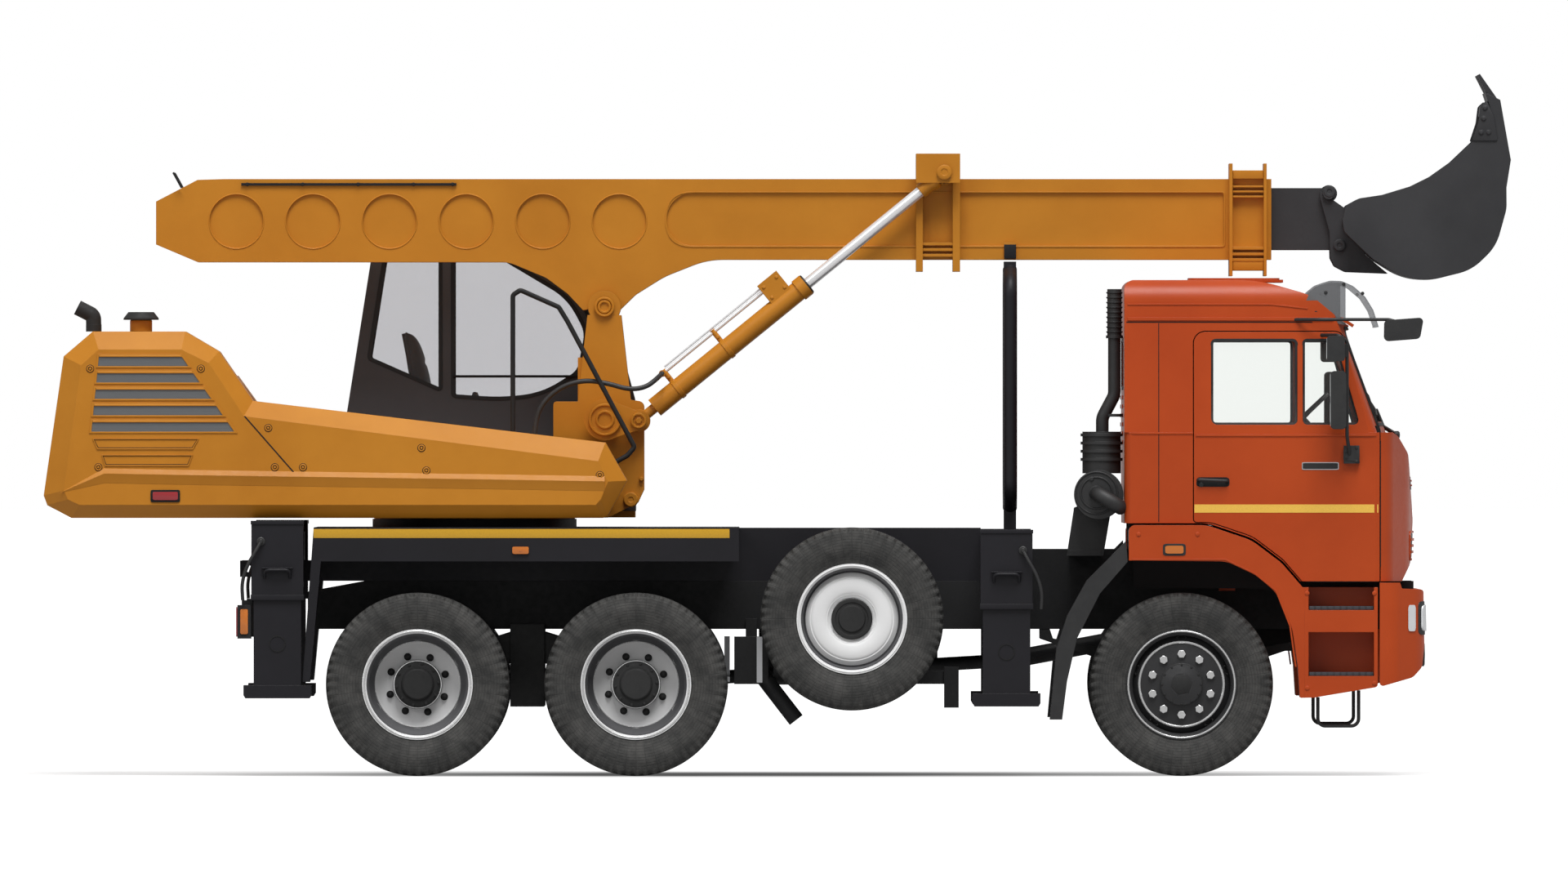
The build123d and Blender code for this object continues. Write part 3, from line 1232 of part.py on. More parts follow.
RAIL_Y = -620
GRAB_X = -1626
GRAB_R = 15
FACE_RUN = Vector(NOSE[0] - HOOD_FRONT[0], NOSE[1] - HOOD_FRONT[1])
FACE_OUT = Vector(-FACE_RUN.Y, FACE_RUN.X).normalized()
FACE_SEAT = Vector(*HOOD_FRONT) + FACE_RUN * 0.5 + FACE_OUT * TOUCH
FACE_BEND = FACE_SEAT + FACE_OUT * 75
with BuildPart() as handrail:
    bent_tube(
        [
            (GRAB_X, RAIL_Y, on_hood(GRAB_X, GRAB_R)),
            (GRAB_X, RAIL_Y, 2942),
            (-1580, RAIL_Y, 2972),
            (-1345, RAIL_Y, 2868),
            (-1291, RAIL_Y, 2780),
            (-880, RAIL_Y, 2010),
            (FACE_BEND.X, RAIL_Y, FACE_BEND.Y),
            (FACE_SEAT.X, RAIL_Y, FACE_SEAT.Y),
        ],
        GRAB_R,
        25,
    )
save(handrail, "handrail")

HOSE_R = 15
HOSE_ROUTE = [
    (-1492, -560, on_hood(-1492, HOSE_R)),
    (-1487, -562, 2190),
    (-1430, -568, 2302),
    (-1318, -578, 2388),
    (-1180, -588, 2422),
    (-1040, -592, 2400),
    (-915, -592, 2362),
    (-812, -577, 2376),
    (-742, -524, 2430),
    (-712, -439.4, 2462),
]


def cord_radii(route):
    """The largest tangent arc at each corner of a cord's route, printed beside its length."""
    points = [Vector(*point) for point in route]
    runs = [end - start for start, end in zip(points, points[1:])]
    radii = []
    for before, after in zip(runs, runs[1:]):
        turn = math.radians(before.get_angle(after))
        radii.append(0.45 * min(before.length, after.length) / math.tan(turn / 2))
    print("cord length", round(sum(run.length for run in runs)), "radii", [round(radius) for radius in radii])
    return radii


with BuildPart() as hoses:
    bent_tube(HOSE_ROUTE, HOSE_R, cord_radii(HOSE_ROUTE))
save(hoses, "lift_hoses")

# ---------------------------------------------------------------- boom

BOOM_SIDE = [
    (BOOM_TAIL_X, 3517),
    (-3563, 3650),
    (-3400, BOOM_TOP),
    (BOOM_FRONT_X, BOOM_TOP),
    (BOOM_FRONT_X, BOOM_BOTTOM),
    (-435, BOOM_BOTTOM, 500),
    (-700, 3055, 500),
    (-875, 2945, 100),
    (PIVOT_X + 100, PIVOT_Z - 15),
    (PIVOT_X + 60, PIVOT_Z - 75, 50),
    (PIVOT_X - 60, PIVOT_Z - 75, 50),
    (PIVOT_X - 100, PIVOT_Z - 15),
    (-1198, 2850),
    (-1291, 2950, 100),
    (-1425, 3050, 200),
    (-1655, BOOM_TAIL_BOTTOM, 200),
    (-3563, BOOM_TAIL_BOTTOM),
    (BOOM_TAIL_X, 3253),
]
PORTHOLE_X = (-3325, -2855, -2385, -1912, -1442, -975)
PORTHOLE_R = 164
PORTHOLE_Z = 3395
RECESS_DEPTH = 14
RECESS_REAR_X = -685
RECESS_FRONT_X = 2733
RECESS_Z = (3245, 3570)
COLLARS = (((845, 887), (1070, 1115), 3087, 3810), ((2767, 2787), (2978, 2996), 3060, 3750))
CAP_IN = LIFT_Y + EYE_HALF + CLEAR
CAP_OUT = CAP_IN + 20
with BuildPart() as collars:
    # the two collars: a pair of flanges each, with gussets between them
    for rear, front, low, high in COLLARS:
        for x in (rear, front):
            for y in both(BOOM_HALF - 1, COLLAR_HALF):
                block(x, y, (low, high))
            block(x, (-COLLAR_HALF, COLLAR_HALF), (BOOM_TOP - 1, high))
            block(x, (-COLLAR_HALF, COLLAR_HALF), (low, BOOM_BOTTOM + 1))
        for z in (low + 100, low + 135, low + 170):
            for y in both(BOOM_HALF - 1, COLLAR_HALF - 12):
                block((rear[1] - 1, front[0] + 1), y, (z - 9, z + 9))
    # clevis of the lift cylinders on the first collar
    rear, front, low, high = COLLARS[0]
    for side in (-1, 1):
        block((rear[0], front[1]), sorted((side * CAP_IN, side * CAP_OUT)), (3630, high))
        block((rear[0], front[1]), sorted((side * (COLLAR_HALF - 1), side * CAP_OUT)), (high - 14, high))
        block((rear[0], front[1]), sorted((side * (BOOM_HALF - 1), side * COLLAR_HALF)), (high - 14, high))
        block((rear[0], front[1]), (-BOOM_HALF, BOOM_HALF), (high - 14, high))
        pin(*LIFT_ROD_PIN, *sorted((side * (BOOM_HALF - 1), side * (CAP_OUT + 14))), ROD_PIN_R)
    section_y = (-BOOM_HALF - TOUCH, BOOM_HALF + TOUCH)
    block((BOOM_FRONT_X - 2800, BOOM_FRONT_X + 100), section_y, (BOOM_BOTTOM - TOUCH, BOOM_TOP + TOUCH), mode=Mode.SUBTRACT)

with BuildPart() as boom:
    side_prism(BOOM_SIDE, -BOOM_HALF, BOOM_HALF)
    block((-3880, -3300), (-BOOM_HALF - 5, BOOM_HALF + 5), (BOOM_TOP, BOOM_TOP + 5), mode=Mode.SUBTRACT)
    # the bore for the sliding section, tightened by wear pads at its mouth
    bore_y = (-INNER_HALF - BORE_GAP, INNER_HALF + BORE_GAP)
    bore_z = (INNER_BOTTOM - BORE_GAP, INNER_TOP + BORE_GAP)
    block((INNER_REAR_X - 40, BOOM_FRONT_X - 80), bore_y, bore_z, mode=Mode.SUBTRACT)
    pad_y = (-INNER_HALF - SLIDE_PLAY, INNER_HALF + SLIDE_PLAY)
    pad_z = (INNER_BOTTOM - SLIDE_PLAY, INNER_TOP + SLIDE_PLAY)
    block((BOOM_FRONT_X - 81, BOOM_FRONT_X + 1), pad_y, pad_z, mode=Mode.SUBTRACT)
    # pressed recesses in both sides
    for side in (-1, 1):
        sunk = sorted((side * (BOOM_HALF - RECESS_DEPTH), side * (BOOM_HALF + 1)))
        for x in PORTHOLE_X:
            pin(x, PORTHOLE_Z, *sunk, PORTHOLE_R, mode=Mode.SUBTRACT)
        low, high = RECESS_Z
        end = (high - low) / 2 - 1
        outline = [
            (RECESS_REAR_X, low, end),
            (RECESS_REAR_X, high, end),
            (RECESS_FRONT_X, high, 20),
            (RECESS_FRONT_X, low, 20),
        ]
        side_prism(outline, *sunk, mode=Mode.SUBTRACT)
    # ears that drop past the boom rest's posts
    for y in both(BOOM_HALF - 1, BOOM_HALF + 20):
        block((REST_X - POST_HALF, REST_X + POST_HALF), y, (BOOM_BOTTOM + 5, BOOM_BOTTOM + 105))
    pin(PIVOT_X, PIVOT_Z, -BOOM_HALF - 1, BOOM_HALF + 1, PIVOT_PIN_R + RUNNING, mode=Mode.SUBTRACT)
    add(collars.part)
save(boom, "boom_outer")

with BuildPart() as inner_boom:
    block((INNER_REAR_X, INNER_FRONT_X), (-INNER_HALF, INNER_HALF), (INNER_BOTTOM, INNER_TOP))
    block((INNER_REAR_X - 1, INNER_FRONT_X + 1), (-165, 165), (INNER_BOTTOM + 20, INNER_TOP - 20), mode=Mode.SUBTRACT)
    block((INNER_FRONT_X - 60, INNER_FRONT_X), (-170, 170), (INNER_BOTTOM + 10, INNER_TOP - 10))
    pin(BUCKET_PIN_X, BUCKET_PIN_Z, -INNER_HALF, INNER_HALF, 52)
    pin(BUCKET_PIN_X, BUCKET_PIN_Z, -INNER_HALF - 60, INNER_HALF + 60, BUCKET_PIN_R)
save(inner_boom, "boom_inner")

# ---------------------------------------------------------------- bucket

BUCKET_OUTSIDE = [
    (3468, 3330, 60),
    (3640, 3165, 200),
    (3830, 3046, 400),
    (4010, 3035, 400),
    (4250, 3095, 300),
    (4400, 3240, 300),
    (4464, 3470, 200),
    (4463, 3610),
]
BUCKET_SIDE = [
    (3458, 3400, 30),
    (3478, 3490, 40),
    (3560, 3535, 60),
    (3700, 3556),
    (3878, 3610),
    (4003, 3672),
    (4127, 3760),
    (4264, 3890),
    (4300, 4002),
    (4313, 4101),
    (4345, 4130),
    (4407, 3885),
]
LIP_X = BUCKET_PIN_X + BUCKET_REACH
LIP = [(4463, 3600), (LIP_X, 3770), (4425, 4139), (4332, 4182), (4360, 4100), (4407, 3880), (4440, 3600)]
TOOTH = [(4345, 4175), (4286, 4290), (4300, 4298), (4405, 4148)]
BRACKET_SIDE = [
    (3323, 3545),
    (3323, 3600, 20),
    (3380, 3627, 40),
    (3443, 3618, 40),
    (3530, 3580),
    (3600, 3530),
    (3600, 3190),
    (3740, 3075),
    (3480, 3085, 40),
    (3412, 3120, 30),
    (3387, 3170, 30),
    (3382, 3330),
]
BRACKET_IN = INNER_HALF + EAR_GAP
BRACKET_OUT = BRACKET_IN + 30
LINK_PIN = (3446, 3248)
with BuildPart() as bucket:
    outline = BUCKET_OUTSIDE + BUCKET_SIDE[::-1]
    side_prism(outline, -BUCKET_HALF, BUCKET_HALF)
    hollow = [
        (3500, 3358, 40),
        (3655, 3197, 180),
        (3840, 3078, 380),
        (4008, 3066, 380),
        (4233, 3124, 280),
        (4374, 3256, 280),
        (4433, 3474, 180),
        (4432, 3612),
        (4376, 3885),
        (4200, 4300),
        (3300, 4000),
        (3300, 3600),
        (3485, 3470),
    ]
    side_prism(hollow, -BUCKET_HALF + BUCKET_PLATE, BUCKET_HALF - BUCKET_PLATE, mode=Mode.SUBTRACT)
    side_prism(LIP, -BUCKET_HALF, BUCKET_HALF)
    for row in range(5):
        y = (row - 2) * (BUCKET_HALF - 60) / 2
        side_prism(TOOTH, y - 45, y + 45)
    for y in both(BRACKET_IN, BRACKET_OUT):
        side_prism(BRACKET_SIDE, *y)
    side_prism(hollow, -BUCKET_HALF + BUCKET_PLATE, BUCKET_HALF - BUCKET_PLATE, mode=Mode.SUBTRACT)
    pin(*LINK_PIN, -BRACKET_OUT - 8, BRACKET_OUT + 8, BUCKET_PIN_R)
    for y in both(BRACKET_IN - 1, BRACKET_OUT + 1):
        pin(BUCKET_PIN_X, BUCKET_PIN_Z, *y, BUCKET_PIN_R + RUNNING, mode=Mode.SUBTRACT)
save(bucket, "bucket")

# ---------------------------------------------------------------- lift cylinders

LIFT_RUN = Vector(LIFT_ROD_PIN[0] - LIFT_BASE[0], LIFT_ROD_PIN[1] - LIFT_BASE[1])
LIFT_LENGTH = LIFT_RUN.length
LIFT_DIR = LIFT_RUN.normalized()


def along_lift(distance, y, lift=0):
    """A point on a lift cylinder's line, or raised above it, at that distance from the base pin."""
    x = LIFT_BASE[0] + LIFT_DIR.X * distance - LIFT_DIR.Y * lift
    z = LIFT_BASE[1] + LIFT_DIR.Y * distance + LIFT_DIR.X * lift
    return (x, y, z)


def lift_box(span, lift, y, half):
    """A block square to a lift cylinder, over a (start, end) span along it and a (low, high) span above it."""
    along = Vector(LIFT_DIR.X, 0, LIFT_DIR.Y)
    plane = Plane(origin=along_lift(span[0], y, sum(lift) / 2), x_dir=(0, 1, 0), z_dir=along)
    with BuildSketch(plane) as face:
        Rectangle(2 * half, lift[1] - lift[0])
    return extrude(face.sketch, amount=span[1] - span[0])


PIPE_LIFT = 134
PIPE_START = 295
VALVE_START = 1085
HOSE_END = 432
for hand, side in HANDS:
    y = side * LIFT_Y
    eye = sorted((y - EYE_HALF, y + EYE_HALF))
    with BuildPart() as barrel:
        pin(*LIFT_BASE, *eye, 70)
        bar(along_lift(40, y), along_lift(BARREL_START + 5, y), EYE_HALF)
        bar(along_lift(BARREL_START, y), along_lift(BARREL_LENGTH, y), BARREL_R)
        bar(along_lift(BARREL_LENGTH - 60, y), along_lift(BARREL_LENGTH, y), BARREL_R + 9)
        bar(along_lift(BARREL_START + 20, y), along_lift(BARREL_LENGTH + 1, y), ROD_R + RUNNING, mode=Mode.SUBTRACT)
        # oil pipe along the top, its elbow towards the hoses, and the valve block
        bar(along_lift(PIPE_START, y, PIPE_LIFT), along_lift(VALVE_START + 5, y, PIPE_LIFT), 10)
        for distance in (PIPE_START + 16, 700):
            bar(along_lift(distance, y, 40), along_lift(distance, y, PIPE_LIFT + 14), 16)
        bar(along_lift(PIPE_START, y, PIPE_LIFT), along_lift(PIPE_START, side * HOSE_END, PIPE_LIFT), 20)
        lift_box((VALVE_START, VALVE_START + 150), (40, PIPE_LIFT + 48), y, 45)
        bar(along_lift(BARREL_START + 20, y), along_lift(BARREL_LENGTH + 1, y), ROD_R + RUNNING, mode=Mode.SUBTRACT)
        pin(*LIFT_BASE, eye[0] - 1, eye[1] + 1, LIFT_PIN_R + RUNNING, mode=Mode.SUBTRACT)
    save(barrel, f"lift_barrel_{hand}")
    with BuildPart() as rod:
        eye_r = ROD_PIN_R + LIFT_DRIFT + 26
        bar(along_lift(BARREL_START + 60, y), along_lift(LIFT_LENGTH - 10, y), ROD_R)
        pin(*LIFT_ROD_PIN, *eye, eye_r)
        pin(*LIFT_ROD_PIN, eye[0] - 10, eye[1] + 10, ROD_PIN_R + LIFT_DRIFT, mode=Mode.SUBTRACT)
    save(rod, f"lift_rod_{hand}")
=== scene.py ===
# %% [markdown]
# # A truck-mounted excavator, dressed over its CAD frame
#
# The imported CAD model gives every panel, wheel and joint its true size. This lesson adds what paint,
# rubber, glass and small fittings look like. Every added piece but the hydraulic hose rides on a CAD body,
# so it moves with that body's joint. Sizes below are in millimetres, in the CAD's own frame: +X to the
# truck's nose, +Y to the driver's left, +Z up.

# %% Load the frame
import math

import bmesh
import bpy
from mathutils import Matrix, Vector
from mathutils.bvhtree import BVHTree


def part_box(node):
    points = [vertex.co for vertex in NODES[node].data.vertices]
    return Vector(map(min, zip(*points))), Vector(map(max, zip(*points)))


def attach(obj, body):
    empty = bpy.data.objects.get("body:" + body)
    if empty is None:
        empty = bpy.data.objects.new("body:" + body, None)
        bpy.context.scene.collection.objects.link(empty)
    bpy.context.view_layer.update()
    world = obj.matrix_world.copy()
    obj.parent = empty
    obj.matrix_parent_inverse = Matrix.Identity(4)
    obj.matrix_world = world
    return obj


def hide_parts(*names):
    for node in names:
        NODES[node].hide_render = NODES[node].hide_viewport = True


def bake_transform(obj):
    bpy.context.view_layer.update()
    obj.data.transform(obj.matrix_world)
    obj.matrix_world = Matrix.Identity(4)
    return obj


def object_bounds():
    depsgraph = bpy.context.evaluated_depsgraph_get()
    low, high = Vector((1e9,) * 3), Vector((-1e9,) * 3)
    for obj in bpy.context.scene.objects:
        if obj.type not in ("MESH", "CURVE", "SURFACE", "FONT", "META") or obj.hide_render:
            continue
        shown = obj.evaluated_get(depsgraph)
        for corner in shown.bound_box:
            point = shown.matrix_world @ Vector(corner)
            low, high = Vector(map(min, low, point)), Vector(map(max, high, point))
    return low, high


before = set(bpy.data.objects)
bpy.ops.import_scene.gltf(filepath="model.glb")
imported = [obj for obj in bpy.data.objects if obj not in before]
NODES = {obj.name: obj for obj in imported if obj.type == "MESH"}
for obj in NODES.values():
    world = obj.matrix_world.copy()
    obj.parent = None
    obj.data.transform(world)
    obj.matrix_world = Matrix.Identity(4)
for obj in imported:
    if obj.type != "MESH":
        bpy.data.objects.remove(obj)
MM = 0.001
cad_low, cad_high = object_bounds()
HANDS = (("right", -1), ("left", 1))
print("frame", [round(size, 3) for size in cad_high - cad_low], "metres,", len(NODES), "nodes")


def corners(name):
    """Lowest and highest corner of a CAD node, in millimetres."""
    low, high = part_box(name)
    return low / MM, high / MM


# %% [markdown]
# ## Node graphs
#
# A material is a small graph. It could be wired by hand in the shader editor, but here many finishes share
# one wiring. Two helpers keep the graphs short to read: one turns the hex colour that a paint shop would
# quote into the linear numbers that light works in, and one adds a node with its settings and its links.

# %% Colour and node helpers


def linear(code):
    """An sRGB hex colour as linear red, green, blue and alpha."""
    parts = [int(code[start : start + 2], 16) / 255 for start in (1, 3, 5)]
    return (*(part / 12.92 if part <= 0.04045 else ((part + 0.055) / 1.055) ** 2.4 for part in parts), 1.0)


def add_node(owner, kind, settings=None, **inputs):
    """Adds a node; an input is a value or a (node, output) link, named by its socket with _ for a space."""
    tree = owner.node_tree
    node = tree.nodes.new("ShaderNode" + kind)
    for name, value in (settings or {}).items():
        setattr(node, name, value)
    for name, value in inputs.items():
        key = int(name[1:]) if name[1:].isdigit() else name.replace("_", " ")
        if isinstance(value, tuple) and isinstance(value[0], bpy.types.Node):
            tree.links.new(value[0].outputs[value[1]], node.inputs[key])
        else:
            node.inputs[key].default_value = value
    return node


def blank_material(name):
    """A material with an empty graph."""
    material = bpy.data.materials.new(name)
    material.use_nodes = True
    material.node_tree.nodes.clear()
    return material


def close_graph(material, shader):
    """Ends a graph in the material's output."""
    add_node(material, "OutputMaterial", Surface=(shader, 0))
    return material


# %% [markdown]
# ## Painted steel
#
# Machine enamel is sprayed over steel: a smooth, slightly rippled film, called orange peel, that softens
# every fold into a small radius. The edges could be rounded in the mesh, at the cost of many faces; a bevel
# node rounds them in the shading only, so the true shape stays. Broad noise shifts the tone by a few
# percent, as sheet panels do, and dust dulls the film in soft clouds.

# %% Painted metal
PEEL_MM = 3.0  # ripple of a sprayed film, drawn coarser than the real 1 mm so that it shows
PANEL_MM = 700  # how broad the clouds of tone are
ENAMEL_SHEEN = 0.28  # below the usual 0.5: faces seen edge-on keep their colour


def enamel(name, colour, shade, roughness, edge=4.0, coat=0.0, dust=0.12, ripple=0.05, metal=0.0):
    """Sprayed enamel: colour to shade in broad clouds, dust that dulls it, and rounded edges."""
    material = blank_material(name)
    place = add_node(material, "TexCoord")
    clouds = add_node(
        material, "TexNoise", Vector=(place, "Object"), Scale=1000 / PANEL_MM, Detail=6.0, Roughness=0.62
    )
    tone = add_node(material, "MapRange", Value=(clouds, 0), From_Min=0.35, From_Max=0.68)
    body = add_node(
        material, "Mix", {"data_type": "RGBA"}, Factor=(tone, 0), _6=linear(colour), _7=linear(shade)
    )
    grit = add_node(material, "TexNoise", Vector=(place, "Object"), Scale=34.0, Detail=8.0, Roughness=0.7)
    dull = add_node(
        material, "MapRange", Value=(grit, 0), From_Min=0.3, From_Max=0.75, To_Min=roughness - dust / 2,
        To_Max=roughness + dust,
    )
    peel = add_node(material, "TexNoise", Vector=(place, "Object"), Scale=1000 / PEEL_MM, Detail=1.0)
    rounded = add_node(material, "Bevel", {"samples": 4}, Radius=edge * MM)
    bump = add_node(
        material, "Bump", Strength=ripple, Distance=0.4 * MM, Height=(peel, 0), Normal=(rounded, 0)
    )
    shader = add_node(
        material, "BsdfPrincipled", Base_Color=(body, 2), Roughness=(dull, 0), Metallic=metal,
        Specular_IOR_Level=ENAMEL_SHEEN, Coat_Weight=coat, Coat_Roughness=0.12, Normal=(bump, 0),
    )
    return close_graph(material, shader)


# the upper's machine enamel: a warm ochre yellow, satin, in broad clouds of a slightly deeper ochre
MACHINE_YELLOW = enamel("machine_enamel_ochre", "#CB8526", "#BF7A1F", 0.42)
# the truck cab's two-pack enamel: glossier, with a trace of clear coat
CAB_ORANGE = enamel("cab_enamel_orange", "#BE4A1A", "#B34316", 0.36, coat=0.02, dust=0.08)
# chassis black: satin, road dust settles on it in grey clouds
CHASSIS_BLACK = enamel("chassis_enamel_black", "#1A1A1B", "#242425", 0.55, edge=3, dust=0.2, ripple=0.15)
# outriggers and deck are fresher and a little blue
OUTRIGGER_BLACK = enamel("outrigger_enamel_blue_black", "#18171B", "#1D1C21", 0.45, edge=3, dust=0.12)
# boom section and bucket: dark grey primer rubbed by soil
WORN_GREY = enamel("bucket_primer_worn_grey", "#343436", "#3E3E40", 0.5, edge=6, dust=0.25, ripple=0.35)
# the operator's cab: satin anthracite
CAB_ANTHRACITE = enamel("operator_cab_enamel_anthracite", "#525356", "#595A5D", 0.45, edge=5, dust=0.1)
# wheel discs: pale stoving enamel, a shade lighter on the spare, and graphite on the front wheels
DISC_SILVER = enamel("wheel_enamel_silver_grey", "#F2F2F2", "#E8E8E8", 0.4, edge=3, dust=0.1)
DISC_WHITE = enamel("wheel_enamel_pale_grey", "#F4F4F4", "#ECECEC", 0.4, edge=3, dust=0.1)
DISC_DARK = enamel("wheel_enamel_graphite", "#3A3A3B", "#303031", 0.34, edge=3, dust=0.15, metal=0.2)
# castings such as axles, hubs and the block: rough sand-cast skin under thin black paint
CAST_BLACK = enamel("sand_cast_iron_black", "#242424", "#303030", 0.62, edge=5, dust=0.2, ripple=0.5)
print("painted finishes ready")

# %% [markdown]
# ## Bare metals
#
# A hard-chromed rod is ground to a soft mirror that shows its pale surroundings, so it looks nearly white.
# Less than half of the shader is metal here; the rest is a near-white colour, a painted reflection of those
# surroundings, so that it stays pale over a dark deck. Straps and plates are zinc plated: pale, soft in
# their gloss, with a little mottling from the bath. Noise draws the marks, as it needs no unwrapping.

# %% Bare metals


def bare_metal(name, colour, roughness, line_mm, depth, metal=1.0):
    """A plated or ground metal with fine marks of one pitch."""
    material = blank_material(name)
    place = add_node(material, "TexCoord")
    marks = add_node(material, "TexNoise", Vector=(place, "Object"), Scale=1000 / line_mm, Detail=3.0)
    dull = add_node(material, "MapRange", Value=(marks, 0), To_Min=roughness * 0.7, To_Max=roughness * 1.4)
    bump = add_node(material, "Bump", Strength=depth, Distance=0.2 * MM, Height=(marks, 0))
    shader = add_node(
        material, "BsdfPrincipled", Base_Color=linear(colour), Metallic=metal, Roughness=(dull, 0),
        Normal=(bump, 0),
    )
    return close_graph(material, shader)


# the rod is less than half metal; the rest is near-white diffuse, a painted reflection of pale surroundings
CHROME_WITH_PAINTED_REFLECTION = bare_metal("hard_chrome_painted_reflection", "#FBFBFC", 0.2, 60, 0.01, metal=0.45)
ZINC = bare_metal("zinc_plated_steel", "#C9CACC", 0.36, 6, 0.12)
MIRROR = bare_metal("silvered_mirror", "#E9ECEE", 0.03, 40, 0.0)
print("bare metals ready")

# %% [markdown]
# ## Rubber and moulded plastic
#
# Tyre rubber is charcoal, never black, because dust fills its pores. Its sidewall carries moulded rings and
# short radial ticks: the tyre meshes below store how far round and how far out each point is, and this
# graph draws the rings from that. Injection-moulded plastic has a fine leathery grain pressed in from its
# tool.

# %% Rubber and plastics
GRAIN_MM = 5.0  # drawn coarser than the real 0.5 mm grain


def moulded(name, colour, shade, roughness, grain=0.25, edge=3.0):
    """Moulded plastic or rubber with a leathery grain and dusty patches."""
    material = blank_material(name)
    place = add_node(material, "TexCoord")
    grit = add_node(material, "TexNoise", Vector=(place, "Object"), Scale=5.0, Detail=9.0, Roughness=0.7)
    tone = add_node(material, "MapRange", Value=(grit, 0), From_Min=0.42, From_Max=0.7)
    body = add_node(
        material, "Mix", {"data_type": "RGBA"}, Factor=(tone, 0), _6=linear(colour), _7=linear(shade)
    )
    leather = add_node(
        material, "TexVoronoi", {"feature": "SMOOTH_F1"}, Vector=(place, "Object"), Scale=1000 / GRAIN_MM
    )
    rounded = add_node(material, "Bevel", {"samples": 4}, Radius=edge * MM)
    bump = add_node(
        material, "Bump", Strength=grain, Distance=0.5 * MM, Height=(leather, 0), Normal=(rounded, 0)
    )
    shader = add_node(
        material, "BsdfPrincipled", Base_Color=(body, 2), Roughness=roughness, Normal=(bump, 0)
    )
    return close_graph(material, shader)


PLASTIC_BLACK = moulded("moulded_polypropylene_black", "#1E1E1F", "#2B2B2B", 0.55)
HOSE_RUBBER = moulded("hydraulic_hose_rubber", "#222223", "#303030", 0.5, grain=0.4)
SEAL_RUBBER = moulded("window_seal_rubber", "#161617", "#1E1E1E", 0.6, grain=0.1, edge=2)
SEAT_VINYL = moulded("seat_vinyl_charcoal", "#3A3A3B", "#484848", 0.62, grain=0.6)

SIDEWALL_RINGS = 1 / 0.018  # rings in a metre: one every 18 mm
SIDEWALL_TICKS = 48  # radial ticks round the shoulder


def tyre_rubber():
    """Vulcanised tread rubber: charcoal, dusty, with moulded rings and ticks on the sidewall."""
    material = blank_material("vulcanised_tyre_rubber")
    place = add_node(material, "TexCoord")
    dusty = add_node(material, "TexNoise", Vector=(place, "Object"), Scale=9.0, Detail=10.0, Roughness=0.75)
    tone = add_node(material, "MapRange", Value=(dusty, 0), From_Min=0.4, From_Max=0.66)
    body = add_node(
        material, "Mix", {"data_type": "RGBA"}, Factor=(tone, 0), _6=linear("#2A2A29"), _7=linear("#4A4947")
    )
    # the mesh's map holds turns in its first value and metres from the axle in its second
    turned = add_node(material, "SeparateXYZ", Vector=(place, "UV"))
    out = add_node(material, "Math", {"operation": "MULTIPLY"}, _0=(turned, 1), _1=SIDEWALL_RINGS)
    ring = add_node(material, "Math", {"operation": "PINGPONG"}, _0=(out, 0), _1=0.5)
    ringed = add_node(material, "MapRange", Value=(ring, 0), From_Min=0.08, From_Max=0.14)
    ticks_round = add_node(
        material, "Math", {"operation": "MULTIPLY"}, _0=(turned, 0), _1=float(SIDEWALL_TICKS)
    )
    tick = add_node(material, "Math", {"operation": "PINGPONG"}, _0=(ticks_round, 0), _1=0.5)
    ticked = add_node(material, "MapRange", Value=(tick, 0), From_Min=0.02, From_Max=0.05)
    relief = add_node(material, "Math", {"operation": "MULTIPLY"}, _0=(ringed, 0), _1=(ticked, 0))
    # the grooves of the rings and ticks are darkened to three quarters: painted shade in the moulded grooves
    groove_shade = add_node(material, "MapRange", Value=(relief, 0), To_Min=0.75, To_Max=1.0)
    multiply = {"data_type": "RGBA", "blend_type": "MULTIPLY"}
    shaded = add_node(material, "Mix", multiply, Factor=1.0, _6=(body, 2), _7=(groove_shade, 0))
    bump = add_node(material, "Bump", Strength=0.7, Distance=1.5 * MM, Height=(relief, 0))
    fine = add_node(material, "Bump", Strength=0.3, Distance=1.0 * MM, Height=(dusty, 0), Normal=(bump, 0))
    shader = add_node(material, "BsdfPrincipled", Base_Color=(shaded, 2), Roughness=0.78, Normal=(fine, 0))
    return close_graph(material, shader)


TYRE_RUBBER = tyre_rubber()
print("rubber and plastics ready")

# %% [markdown]
# ## Glass and lenses
#
# Laminated glass is clear with a faint green edge. A thin pane needs no refraction to read as glass: the
# shader mixes a transparent path with a sharp reflection, so light still reaches the seats. Lamp lenses are
# tinted acrylic over a bright reflector: saturated, glossy and ribbed.

# %% Glass and lamp lenses


def pane(name, colour, clear, gloss=0.04):
    """A thin pane: part of the light passes straight through its tint, the rest is glossy."""
    material = blank_material(name)
    through = add_node(material, "BsdfTransparent", Color=linear(colour))
    place = add_node(material, "TexCoord")
    film = add_node(material, "TexNoise", Vector=(place, "Object"), Scale=3.0, Detail=4.0)
    dull = add_node(material, "MapRange", Value=(film, 0), To_Min=gloss, To_Max=gloss + 0.08)
    sheet = add_node(material, "BsdfPrincipled", Base_Color=linear(colour), Roughness=(dull, 0), IOR=1.5)
    mixed = add_node(material, "MixShader", Fac=clear, _1=(sheet, 0), _2=(through, 0))
    return close_graph(material, mixed)


def lens(name, colour, rib_mm):
    """A ribbed acrylic lamp lens over a bright reflector."""
    material = blank_material(name)
    place = add_node(material, "TexCoord")
    ribs = add_node(
        material, "TexWave", {"bands_direction": "Z"}, Vector=(place, "Object"), Scale=1000 / rib_mm / 20
    )
    bump = add_node(material, "Bump", Strength=0.5, Distance=1.0 * MM, Height=(ribs, 0))
    shader = add_node(
        material, "BsdfPrincipled", Base_Color=linear(colour), Roughness=0.12, Coat_Weight=1.0,
        Coat_Roughness=0.03, Normal=(bump, 0),
    )
    return close_graph(material, shader)


